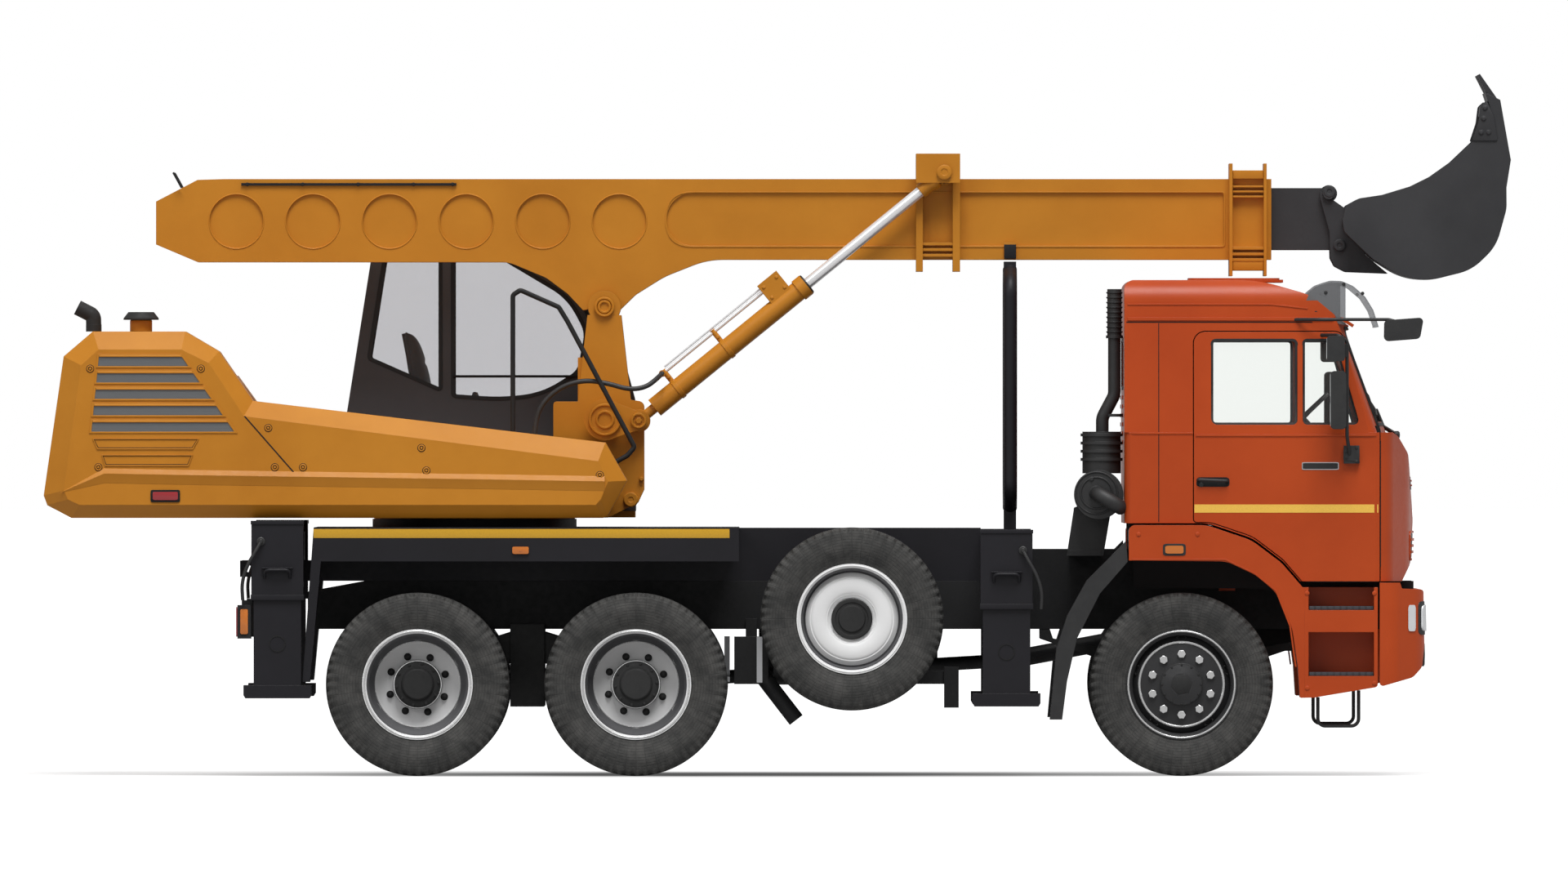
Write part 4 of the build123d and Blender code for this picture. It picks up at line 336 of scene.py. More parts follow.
CAB_PANE = pane("laminated_glass_clear", "#FDFEFD", 0.975)
OPERATOR_PANE = pane("toughened_glass_grey", "#F1F1F2", 0.95)
SMOKED_PANE = pane("smoked_acrylic", "#B9BABC", 0.72)
AMBER_LENS = lens("amber_acrylic_lens", "#CE7010", 8)
RED_LENS = lens("red_acrylic_lens", "#A01620", 8)
CLEAR_LENS = lens("clear_polycarbonate_lens", "#E8EAEC", 14)
print("glass and lenses ready")

# %% [markdown]
# ## Patterned sheet
#
# Three sheets have a pattern of real size: the steps' tread plate with its raised lozenges, the woven wire
# behind the louvres, and the reflective tape along the deck and doors. Each could be modelled wire by wire;
# at this size a pattern drawn from its pitch in millimetres reads much the same and stays light.

# %% Tread plate, wire mesh and tape
TREAD_MM = 55  # pitch of the raised lozenges
TAPE_CELL_MM = 1000 / 150  # honeycomb cells of the tape, drawn wider than real ones
WIRE_MM = 14  # weave of the guard, drawn wider than the real 6 mm


def tread_plate():
    """Hot-rolled tread plate under black paint: crossed rows of raised bars, rubbed bright on top."""
    material = blank_material("tread_plate_painted")
    place = add_node(material, "TexCoord")
    turn = add_node(material, "Mapping", Vector=(place, "Object"), Rotation=(0, 0, math.radians(45)))
    tiles = add_node(
        material, "TexBrick", {"offset": 0.5}, Vector=(turn, 0), Scale=1000 / TREAD_MM / 2, Mortar_Size=0.09,
        Color1=linear("#26262A"), Color2=linear("#2E2E33"), Mortar=linear("#3A3A3F"),
    )
    bump = add_node(material, "Bump", Strength=0.6, Distance=2 * MM, Height=(tiles, "Fac"))
    shader = add_node(
        material, "BsdfPrincipled", Base_Color=(tiles, "Color"), Roughness=0.48, Normal=(bump, 0)
    )
    return close_graph(material, shader)


def wire_mesh():
    """Woven wire: pale wires in a square weave, the dark void behind them painted into the cells."""
    material = blank_material("woven_wire_painted_void")
    place = add_node(material, "TexCoord")
    turn = add_node(material, "Mapping", Vector=(place, "Object"), Rotation=(math.radians(90), 0, 0))
    # the dark cells are painted shade of the void behind the wires
    cells = add_node(
        material, "TexBrick", {"offset": 0.5}, Vector=(turn, 0), Scale=1000 / WIRE_MM / 2, Mortar_Size=0.1,
        Color1=linear("#222326"), Color2=linear("#2A2C2E"), Mortar=linear("#727476"),
    )
    bump = add_node(material, "Bump", Strength=0.5, Distance=1 * MM, Height=(cells, "Fac"))
    shader = add_node(
        material, "BsdfPrincipled", Base_Color=(cells, "Color"), Metallic=0.3, Roughness=0.5,
        Normal=(bump, 0),
    )
    return close_graph(material, shader)


def tape(name, colour):
    """Reflective tape: honeycomb cells under a clear film."""
    material = blank_material(name)
    place = add_node(material, "TexCoord")
    cells = add_node(material, "TexVoronoi", Vector=(place, "Object"), Scale=1000 / TAPE_CELL_MM)
    tone = add_node(material, "MapRange", Value=(cells, 0), To_Min=1.0, To_Max=0.86)
    multiply = {"data_type": "RGBA", "blend_type": "MULTIPLY"}
    body = add_node(material, "Mix", multiply, Factor=1.0, _6=linear(colour), _7=(tone, 0))
    shader = add_node(
        material, "BsdfPrincipled", Base_Color=(body, 2), Roughness=0.3, Coat_Weight=0.4, Coat_Roughness=0.1
    )
    return close_graph(material, shader)


TREAD_PLATE = tread_plate()
WIRE_MESH = wire_mesh()
DECK_TAPE = tape("reflective_tape_ochre", "#DBA61C")
DOOR_TAPE = tape("reflective_tape_yellow", "#FFCB52")
print("materials ready:", len(bpy.data.materials))

# %% [markdown]
# ## Floor, light and camera
#
# The machine stands on a pale floor under one broad key from above, two weak fills and a weak sky. The
# floor and the sky look white to the camera and in reflections through the Light Path node, not through
# more light, and the floor still takes the machine's shadow. A soft painted shadow under the machine is
# drawn in the floor's own material, for the camera alone. The camera is a very long lens from the right-hand
# side, far enough away that the view is almost flat.

# %% Floor
FLOOR_REACH_M = 900.0
# the oval of painted shadow drawn in the floor under the machine
SHADOW_HALF_M = (4.4, 2.7)  # the dark patch of floor under the machine
SHADOW_BACK_M = 0.25  # how far behind the machine's middle it is centred


def seen_rays(owner, glossy_share):
    """1 for rays that see the background as it is: camera, transmission and a share of glossy rays."""
    rays = add_node(owner, "LightPath")
    part = add_node(owner, "Math", {"operation": "MULTIPLY"}, _0=(rays, "Is Glossy Ray"), _1=glossy_share)
    seen = add_node(owner, "Math", {"operation": "MAXIMUM"}, _0=(rays, "Is Camera Ray"), _1=(part, 0))
    return add_node(owner, "Math", {"operation": "MAXIMUM"}, _0=(seen, 0), _1=(rays, "Is Transmission Ray"))


paper = blank_material("pale_floor_painted_shadow")
rays = add_node(paper, "LightPath")
pale = add_node(paper, "MapRange", Value=(rays, "Is Camera Ray"), To_Min=0.4, To_Max=0.96)
chalk = add_node(paper, "BsdfDiffuse", Color=(pale, 0))
toward_white = add_node(paper, "Math", {"operation": "MULTIPLY"}, _0=(seen_rays(paper, 0.3), 0), _1=0.5)
white = add_node(paper, "Emission", Color=(1, 1, 1, 1), Strength=1.3)
lit = add_node(paper, "MixShader", _0=(toward_white, 0), _1=(chalk, 0), _2=(white, 0))
spot = add_node(paper, "TexCoord")
reduced = add_node(
    paper, "VectorMath", {"operation": "MULTIPLY_ADD"}, _0=(spot, "Object"),
    _1=(1 / SHADOW_HALF_M[0], 1 / SHADOW_HALF_M[1], 0), _2=(SHADOW_BACK_M / SHADOW_HALF_M[0], 0, 0),
)
out = add_node(paper, "VectorMath", {"operation": "LENGTH"}, _0=(reduced, 0))
# painted shadow: the floor turns dark toward the middle of the oval, for camera rays only
under = add_node(
    paper, "MapRange", {"interpolation_type": "SMOOTHSTEP"}, Value=(out, 1), From_Min=0.2, From_Max=1.0,
    To_Min=0.86, To_Max=0.0,
)
painted_shadow_share = add_node(paper, "Math", {"operation": "MULTIPLY"}, _0=(rays, "Is Camera Ray"), _1=(under, 0))
dark = add_node(paper, "BsdfDiffuse", Color=(0.03, 0.03, 0.03, 1))
shaded = add_node(paper, "MixShader", _0=(painted_shadow_share, 0), _1=(lit, 0), _2=(dark, 0))
close_graph(paper, shaded)
floor_mesh = bpy.data.meshes.new("floor")
square = [(FLOOR_REACH_M * x, FLOOR_REACH_M * y, 0) for x, y in ((-1, -1), (1, -1), (1, 1), (-1, 1))]
floor_mesh.from_pydata(square, [], [(0, 1, 2, 3)])
floor_mesh.materials.append(paper)
floor = bpy.data.objects.new("floor", floor_mesh)
bpy.context.scene.collection.objects.link(floor)
print("floor reaches", FLOOR_REACH_M, "metres each way")

# %% Sky and lamps
LAMPS = (
    # name, strength, tilt in degrees about X, Y and Z
    ("key_overhead", 2.8, (28, 0, 10)),
    ("fill_camera_side", 0.45, (60, 0, -38)),
    ("fill_left_rear", 0.5, (-52, 0, -30)),
)
LAMP_SPREAD = math.radians(32)
world = bpy.data.worlds.new("studio")
bpy.context.scene.world = world
world.use_nodes = True
world.node_tree.nodes.clear()
level = add_node(world, "MapRange", Value=(seen_rays(world, 0.35), 0), To_Min=0.19, To_Max=1.0)
sky = add_node(world, "Background", Color=(1, 1, 1, 1), Strength=(level, 0))
add_node(world, "OutputWorld", Surface=(sky, 0))

for name, energy, tilt in LAMPS:
    lamp = bpy.data.lights.new(name, "SUN")
    lamp.energy = energy
    lamp.angle = LAMP_SPREAD
    holder = bpy.data.objects.new(name, lamp)
    holder.rotation_euler = [math.radians(angle) for angle in tilt]
    bpy.context.scene.collection.objects.link(holder)
print(len(LAMPS), "lamps")

# %% Camera
LENS_MM = 900
VIEW_WIDTH_M = 9.63
AIM_AHEAD_M = 0.035  # the view's middle, ahead of the machine's own
AIM_HEIGHT_M = 2.06
camera_data = bpy.data.cameras.new("camera")
camera_data.lens = LENS_MM
camera_data.clip_end = 2000
camera = bpy.data.objects.new("camera", camera_data)
distance = VIEW_WIDTH_M * LENS_MM / camera_data.sensor_width
camera.location = ((cad_low.x + cad_high.x) / 2 + AIM_AHEAD_M, -distance, AIM_HEIGHT_M)
camera.rotation_euler = (math.radians(90), 0, 0)
bpy.context.scene.collection.objects.link(camera)
bpy.context.scene.camera = camera
bpy.context.scene.view_settings.view_transform = "Standard"
print("camera", round(distance, 1), "metres away")

# %% [markdown]
# ## Finishes on the CAD nodes
#
# Most CAD nodes already have the right shape, so they only get their material. One table from node to
# finish is quicker to read, and to change, than a call for each node.

# %% Finishes on the CAD nodes
FINISH = {
    "air_intake": PLASTIC_BLACK,
    "axles_and_springs": CAST_BLACK,
    "boom_inner": WORN_GREY,
    "boom_outer": MACHINE_YELLOW,
    "bucket": WORN_GREY,
    "bumper": CAB_ORANGE,
    "cab_glass": CAB_PANE,
    "cab_shell": CAB_ORANGE,
    "chassis_frame": CHASSIS_BLACK,
    "counterweight": MACHINE_YELLOW,
    "deck_and_subframe": OUTRIGGER_BLACK,
    "engine_block": CAST_BLACK,
    "engine_housing": MACHINE_YELLOW,
    "exhaust_and_intake": CAST_BLACK,
    "front_mirror": PLASTIC_BLACK,
    "handrail": CHASSIS_BLACK,
    "lamps": CHASSIS_BLACK,
    "mudguards_and_foot_loops": PLASTIC_BLACK,
    "operator_cab": CAB_ANTHRACITE,
    "operator_door": CAB_ANTHRACITE,
    "operator_door_glass": OPERATOR_PANE,
    "operator_glass": OPERATOR_PANE,
    "outrigger_beams_and_boom_rest": OUTRIGGER_BLACK,
    "spare_rim": DISC_WHITE,
    "turntable_and_mast": MACHINE_YELLOW,
    "underbody_tanks_and_shafts": CHASSIS_BLACK,
    "visor": SMOKED_PANE,
    "wings_and_steps": CAB_ORANGE,
}
for hand, side in HANDS:
    FINISH[f"cab_door_{hand}"] = CAB_ORANGE
    FINISH[f"cab_door_glass_{hand}"] = CAB_PANE
    FINISH[f"knuckle_{hand}"] = CAST_BLACK
    FINISH[f"lift_barrel_{hand}"] = MACHINE_YELLOW
    FINISH[f"lift_rod_{hand}"] = CHROME_WITH_PAINTED_REFLECTION
    FINISH[f"mirror_{hand}"] = PLASTIC_BLACK
    FINISH[f"rim_front_{hand}"] = DISC_DARK
    for row in ("mid", "rear"):
        FINISH[f"rims_{row}_{hand}"] = DISC_SILVER
    for row in ("front", "rear"):
        FINISH[f"outrigger_leg_{row}_{hand}"] = OUTRIGGER_BLACK
for name, material in FINISH.items():
    for slot in NODES[name].material_slots:
        slot.material = material
print("finished", len(FINISH), "CAD nodes")

# %% [markdown]
# ## Shape helpers
#
# Small fittings could be primitives with modifiers. Drawn from a few points they keep exact sizes and clean
# faces, so shapes are drawn in millimetres into a bmesh and turned into a piece at the end. A part of the
# machine is drawn in the frame of its own side view: u runs forward from the rear of its CAD box, v up from
# the bottom of it, and w out of the box's right or left face.

# %% Frames and pieces


def beside(name, side):
    """The side-view frame of a CAD node: its origin is the box's rear bottom corner on that side."""
    low, high = corners(name)
    y = low.y if side < 0 else high.y
    return Matrix(((1, 0, 0, low.x), (0, 0, side, y), (0, 1, 0, low.z), (0, 0, 0, 1)))


def piece(name, shape, material, body, smooth=32):
    """Turns a shape drawn in millimetres into an object that rides on a CAD body."""
    bmesh.ops.scale(shape, vec=(MM, MM, MM), verts=shape.verts)
    bmesh.ops.recalc_face_normals(shape, faces=shape.faces)
    mesh = bpy.data.meshes.new(name)
    shape.to_mesh(mesh)
    shape.free()
    mesh.polygons.foreach_set("use_smooth", [True] * len(mesh.polygons))
    mesh.set_sharp_from_angle(angle=math.radians(smooth))
    mesh.materials.append(material)
    made = bpy.data.objects.new(name, mesh)
    bpy.context.scene.collection.objects.link(made)
    if body:
        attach(made, body)
    return made


print("frames and pieces ready")

# %% Outlines


def softened(points, radius, closed=True, steps=5):
    """The points with each corner eased into a curve; the radius may be a list, one for each corner."""
    ring = [Vector(point) for point in points]
    radii = list(radius) if isinstance(radius, (list, tuple)) else [radius] * len(ring)
    if closed:
        bends = list(zip(ring[-1:] + ring[:-1], ring, ring[1:] + ring[:1], radii))
        eased = []
    else:
        bends = list(zip(ring, ring[1:], ring[2:], radii[1:]))
        eased = [ring[0]]
    for before, corner, after, wanted in bends:
        back, on = before - corner, after - corner
        reach = min(wanted, 0.49 * back.length, 0.49 * on.length)
        start = corner + back.normalized() * reach
        end = corner + on.normalized() * reach
        for step in range(steps + 1):
            part = step / steps
            eased.append((1 - part) ** 2 * start + 2 * part * (1 - part) * corner + part**2 * end)
    return eased if closed else eased + [ring[-1]]


def bent(route, radius):
    """A tube's route with its bends rounded."""
    return softened(route, radius, closed=False)


def grown(outline, distance):
    """A closed outline moved outward by a distance, or inward by a negative one."""
    ring = [Vector(point[:2]) for point in outline]
    turning = sum(a.x * b.y - a.y * b.x for a, b in zip(ring, ring[1:] + ring[:1]))
    out = distance if turning > 0 else -distance
    moved = []
    for before, point, after in zip(ring[-1:] + ring[:-1], ring, ring[1:] + ring[:1]):
        ahead = ((point - before).normalized() + (after - point).normalized()).normalized()
        moved.append(point + Vector((ahead.y, -ahead.x)) * out)
    return moved


print("outlines ready")

# %% Plates


def plate(shape, outline, low, high, place, bevel=2.0, hole=None):
    """A plate over a (u, v) outline, from w = low to high, with a bevelled rim; a hole makes it a frame."""
    rims = []
    for points in (outline, hole) if hole else (outline,):
        rims.append(
            [[shape.verts.new(place @ Vector((*point[:2], w))) for point in points] for w in (low, high)]
        )
    caps = []
    if hole:
        for end in (0, 1):
            edges = []
            for rim in rims:
                loop = rim[end]
                edges += [shape.edges.new((a, b)) for a, b in zip(loop, loop[1:] + loop[:1])]
            bmesh.ops.triangle_fill(shape, edges=edges, use_beauty=True)
    else:
        caps = [[shape.faces.new(rims[0][0][::-1])], [shape.faces.new(rims[0][1])]]
    for below, roof in rims:
        for index, vert in enumerate(below):
            ahead = (index + 1) % len(below)
            shape.faces.new((vert, below[ahead], roof[ahead], roof[index]))
    if bevel and not hole:
        bmesh.ops.bevel(
            shape, geom=list(caps[1][0].edges), offset=bevel, segments=2, profile=0.5, affect="EDGES"
        )


print("plates ready")

# %% Turned bodies, tubes and bolts


def oblong(u, v, radius=0.0):
    """A rectangle's outline over two (low, high) spans, its corners eased."""
    ring = [(u[0], v[0]), (u[1], v[0]), (u[1], v[1]), (u[0], v[1])]
    return softened(ring, radius) if radius else ring


def lathe(shape, profile, place, sides=32, start=0.0):
    """A body turned about w from (radius, w) points; six sides make a hexagon."""
    rings = []
    for radius, w in profile:
        if radius < 0.01:
            rings.append([shape.verts.new(place @ Vector((0, 0, w)))] * sides)
        else:
            rings.append(
                [shape.verts.new(place @ Vector((u, v, w))) for u, v in turned_ring(radius, sides, start)]
            )
    for ring, ahead in zip(rings, rings[1:]):
        for index in range(sides):
            following = (index + 1) % sides
            quad = list(dict.fromkeys((ring[index], ring[following], ahead[following], ahead[index])))
            if len(quad) > 2:
                shape.faces.new(quad)


def turned_ring(radius, sides, start):
    """Points round a circle about the origin, from a starting angle."""
    turns = [start + math.tau * index / sides for index in range(sides)]
    return [(radius * math.cos(turn), radius * math.sin(turn)) for turn in turns]


def tube(shape, route, radius, sides=12, place=None):
    """A round tube through the points of a route, in a side-view frame or in the machine's own axes."""
    points = [place @ Vector(point) if place else Vector(point) for point in route]
    last = len(points) - 1
    up = None
    rings = []
    for index, point in enumerate(points):
        ahead = (points[min(index + 1, last)] - points[max(index - 1, 0)]).normalized()
        up = ahead.orthogonal() if up is None else up - ahead * up.dot(ahead)
        up = up.normalized()
        across = ahead.cross(up)
        rings.append(
            [shape.verts.new(point + up * u + across * v) for u, v in turned_ring(radius, sides, 0)]
        )
    for ring, following in zip(rings, rings[1:]):
        for index in range(sides):
            ahead = (index + 1) % sides
            shape.faces.new((ring[index], ring[ahead], following[ahead], following[index]))
    shape.faces.new(rings[0][::-1])
    shape.faces.new(rings[-1])


def bolt(shape, place, radius, height=None, washer=True):
    """A hexagon head on its washer."""
    height = height or 0.7 * radius
    if washer:
        lathe(
            shape, [(0, -2), (1.35 * radius, -2), (1.35 * radius, 2), (1.28 * radius, 3), (0, 3)], place, 20
        )
    lathe(shape, [(0, 0), (radius, 0), (radius, height - 2), (0.86 * radius, height), (0, height)], place, 6)


def at(place, u, v, w=0.0):
    """The same frame with its origin moved to a point of itself."""
    return place @ Matrix.Translation((u, v, w))


def ahead_of(name):
    """A CAD node's front view: u runs left from its middle, v up from its bottom, w forward of its box."""
    low, high = corners(name)
    return Matrix(((0, 0, 1, high.x), (1, 0, 0, (low.y + high.y) / 2), (0, 1, 0, low.z), (0, 0, 0, 1)))


def behind(name):
    """A CAD node's rear view: u runs left from its middle, v up from its bottom, w back from its box."""
    low, high = corners(name)
    return Matrix(((0, 0, -1, low.x), (1, 0, 0, (low.y + high.y) / 2), (0, 1, 0, low.z), (0, 0, 0, 1)))


print("turned bodies and tubes ready")

# %% Pieces that follow a skin
TREES = {}


def skin(name, place, u, v, reach=900):
    """How far out along w the surface of a CAD node lies over the point (u, v)."""
    if name not in TREES:
        node = NODES[name]
        points = [node.matrix_world @ vertex.co / MM for vertex in node.data.vertices]
        TREES[name] = BVHTree.FromPolygons(points, [tuple(face.vertices) for face in node.data.polygons])
    inward = -(place.to_3x3() @ Vector((0, 0, 1))).normalized()
    hit = TREES[name].ray_cast(place @ Vector((u, v, reach)), inward, 3 * reach)[0]
    return None if hit is None else (place.inverted() @ hit).z


def on_skin(name, place, u, v):
    """The frame at the point of a CAD node's surface over (u, v)."""
    return at(place, u, v, skin(name, place, u, v) or 0.0)


def ribbon(shape, name, place, line, width, low, high):
    """A strip laid along a line on a CAD node's skin, from low to high above it."""
    points = [Vector(point) for point in line]
    fine = []
    for start, end in zip(points, points[1:]):
        steps = max(1, round((end - start).length / 30))
        fine += [start.lerp(end, step / steps) for step in range(steps)]
    fine.append(points[-1])
    rings = []
    height = 0.0
    for index, point in enumerate(fine):
        ahead = (fine[min(index + 1, len(fine) - 1)] - fine[max(index - 1, 0)]).normalized()
        across = Vector((-ahead.y, ahead.x)) * width / 2
        ring = []
        for spot, levels in ((point + across, (low, high)), (point - across, (high, low))):
            found = skin(name, place, *spot)
            if found is not None and (not rings or abs(found - height) < 60):
                height = found
            ring += [shape.verts.new(place @ Vector((*spot, height + raised))) for raised in levels]
        rings.append(ring)
    for ring, following in zip(rings, rings[1:]):
        for index in range(4):
            turn = (index + 1) % 4
            shape.faces.new((ring[index], ring[turn], following[turn], following[index]))
    shape.faces.new(rings[0][::-1])
    shape.faces.new(rings[-1])


def patch(shape, name, place, u, v, low, high, corner=0.0, grid=14):
    """A panel with rounded corners that follows a CAD node's skin, from low to high above it."""
    half_u, half_v = (u[1] - u[0]) / 2, (v[1] - v[0]) / 2
    layers = []
    for lift in (low, high):
        layer = []
        for row in range(grid + 1):
            line = []
            for column in range(grid + 1):
                x, y = (2 * column / grid - 1) * half_u, (2 * row / grid - 1) * half_v
                over_x, over_y = max(abs(x) - half_u + corner, 0), max(abs(y) - half_v + corner, 0)
                if over_x and over_y:
                    shrink = max(over_x, over_y) / math.hypot(over_x, over_y)
                    x = math.copysign(half_u - corner + over_x * shrink, x)
                    y = math.copysign(half_v - corner + over_y * shrink, y)
                spot = (u[0] + half_u + x, v[0] + half_v + y)
                line.append(
                    shape.verts.new(place @ Vector((*spot, (skin(name, place, *spot) or 0.0) + lift)))
                )
            layer.append(line)
        layers.append(layer)
    for layer in layers:
        for line, above in zip(layer, layer[1:]):
            for index in range(grid):
                shape.faces.new((line[index], line[index + 1], above[index + 1], above[index]))
    rim = [(0, index) for index in range(grid)] + [(index, grid) for index in range(grid)]
    rim += [(grid, grid - index) for index in range(grid)] + [(grid - index, 0) for index in range(grid)]
    for (row, column), (row_on, column_on) in zip(rim, rim[1:] + rim[:1]):
        lower, upper = layers
        loop = (lower[row][column], lower[row_on][column_on], upper[row_on][column_on], upper[row][column])
        shape.faces.new(loop)


print("skin helpers ready")

# %% [markdown]
# ## Tyres
#
# A tyre is swept once round from one section. Its tread has two zigzag grooves and a row of lugs that drop
# over each shoulder; the section's points move in step with the pitch of the pattern. Twins are one piece,
# as they are one node.

# %% Tyres
PITCHES = 64
COLUMNS = 4
GROOVE_MM = 13
ZIGZAG_MM = 9
LUG_MM = 12
LUG_FOOT_MM = 62  # how far inside the tread the lugs begin
LUG_RAMP_MM = 40  # over which they reach their depth
TYRE_WIDTH = 290
TYRE_BEAD_R = 322


def tyre_section(tread, width, bead):
    """Half a tyre's section as (radius, w, kind): bead, sidewall, shoulder lugs, grooves, middle rib."""
    wall = width / 2
    return [
        (bead, -0.36 * width, "wall"),
        (bead + 14, -0.405 * width, "wall"),
        (bead + 34, -0.42 * width, "wall"),
        (bead + 44, -0.435 * width, "wall"),
        (bead + 75, -wall + 9, "wall"),
        (bead + 105, -wall + 2, "wall"),
        (bead + 135, -wall, "wall"),
        (bead + 160, -wall + 2, "wall"),
        (bead + 176, -wall + 4, "lug"),
        (tread - 34, -wall + 8, "lug"),
        (tread - 20, -wall + 12, "lug"),
        (tread - 8, -wall + 20, "lug"),
        (tread - 2, -wall + 32, "lug"),
        (tread, -wall + 50, "lug"),
        (tread, -wall + 62, "tread"),
        (tread, -64, "zigzag"),
        (tread - GROOVE_MM, -60, "zigzag"),
        (tread - GROOVE_MM, -52, "zigzag"),
        (tread, -48, "zigzag"),
        (tread, -22, "zigzag"),
        (tread - GROOVE_MM, -19, "zigzag"),
        (tread - GROOVE_MM, -12, "zigzag"),
        (tread, -9, "zigzag"),
    ]


def make_tyres(node, body):
    """Replaces the CAD tyres of one node by treaded ones of the same size; twins share the piece."""
    low, high = corners(node)
    tread = (high.z - low.z) / 2
    hub = Vector(((low.x + high.x) / 2, 0, (low.z + high.z) / 2))
    single = high.y - low.y < 1.5 * TYRE_WIDTH
    centres = [(low.y + high.y) / 2] if single else [low.y + TYRE_WIDTH / 2, high.y - TYRE_WIDTH / 2]
    half = tyre_section(tread, TYRE_WIDTH, TYRE_BEAD_R)
    section = half + [(radius, -w, kind) for radius, w, kind in reversed(half)]
    shape = bmesh.new()
    turns = PITCHES * COLUMNS
    faces = []
    for centre in centres:
        rings = []
        for column in range(turns):
            angle = math.tau * column / turns
            phase = column % COLUMNS
            sway = ZIGZAG_MM * (1, 0, -1, 0)[phase]
            ring = []
            for radius, w, kind in section:
                if kind == "lug" and phase in (2, 3):
                    radius -= LUG_MM * min(1.0, (radius - tread + LUG_FOOT_MM) / LUG_RAMP_MM)
                    w += math.copysign(3, -w) if radius < tread - 15 else 0
                if kind == "zigzag":
                    w += sway
                spot = (hub.x + radius * math.cos(angle), centre + w, hub.z + radius * math.sin(angle))
                ring.append(shape.verts.new(spot))
            rings.append(ring)
        for column in range(turns):
            ring, ahead = rings[column], rings[(column + 1) % turns]
            for index in range(len(section) - 1):
                faces.append(shape.faces.new((ring[index], ahead[index], ahead[index + 1], ring[index + 1])))
    # the map that the rubber's rings and ticks are drawn from: turns round, and metres from the axle
    layer = shape.loops.layers.uv.new("turns_and_radius")
    for index, face in enumerate(faces):
        column = index // (len(section) - 1) % turns
        for loop, step in zip(face.loops, (0, 1, 1, 0)):
            offset = loop.vert.co - hub
            loop[layer].uv = ((column + step) / turns, math.hypot(offset.x, offset.z) * MM)
    made = piece(f"{node}_treaded", shape, TYRE_RUBBER, body, 28)
    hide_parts(node)


for hand, side in HANDS:
    make_tyres(f"tyre_front_{hand}", f"wheel_front_{hand}")
    for row in ("mid", "rear"):
        make_tyres(f"tyres_{row}_{hand}", f"wheels_{row}_{hand}")
make_tyres("spare_tyre", "chassis")
print("tyres made")

# %% [markdown]
# ## Wheel fittings
#
# The rear discs are deep dishes with eight dark nuts and bright hand holes in the sloping wall; the front
# discs stand proud, with ten bright hexagons. Each fitting is drawn in the wheel's own side view, about the
# wheel's centre, with w measured out from the rim's outer lip.

# %% Nuts, hubs, rings and hand holes


def wheel_frame(node, side):
    """The side view about a wheel's centre, at the rim's outer lip."""
    low, high = corners(node)
    return at(beside(node, side), (high.x - low.x) / 2, (high.z - low.z) / 2)


def ring_of(place, radius, count, start=0.0, w=0.0):
    """Frames spaced round a circle, each turned so that its u runs outward."""
    turns = [start + math.tau * index / count for index in range(count)]
    return [place @ Matrix.Rotation(turn, 4, "Z") @ Matrix.Translation((radius, 0, w)) for turn in turns]


def bead_ring(shape, place, radius, thick, w):
    """A rounded ring standing on a disc or a lip."""
    turns = [math.tau * index / 10 for index in range(10)]
    section = [(radius + thick * math.cos(turn), w + thick * math.sin(turn)) for turn in turns]
    lathe(shape, section + section[:1], place, 72)


# the rim's lip and hand holes are rubbed bright; the barrel behind them is dark grey,
# painted shade of the deep well with road dust
RIM_BRIGHT = enamel("wheel_rim_edge_polished", "#D8D8D8", "#BFBFBF", 0.25, edge=2, dust=0.06, metal=0.4)
RIM_BARREL_SHADE_AND_DUST = enamel("wheel_rim_barrel_painted_shade_and_dust", "#5E5E60", "#4C4C4E", 0.55, edge=2, dust=0.2)
RIM_LIP_R = 326


def barrel_shade_lining(shape, place, disc_w, seat_w):
    """A rim barrel's inside, painted shade and road dust: a thin skin from the disc's edge out to the lip.
    """
    outer = [(264, disc_w + 4), (298.5, seat_w), (298.5, -31), (311, -7)]
    lathe(shape, outer + [(308, -5), (296, -29), (296, seat_w + 2), (263, disc_w + 7), outer[0]], place, 72)


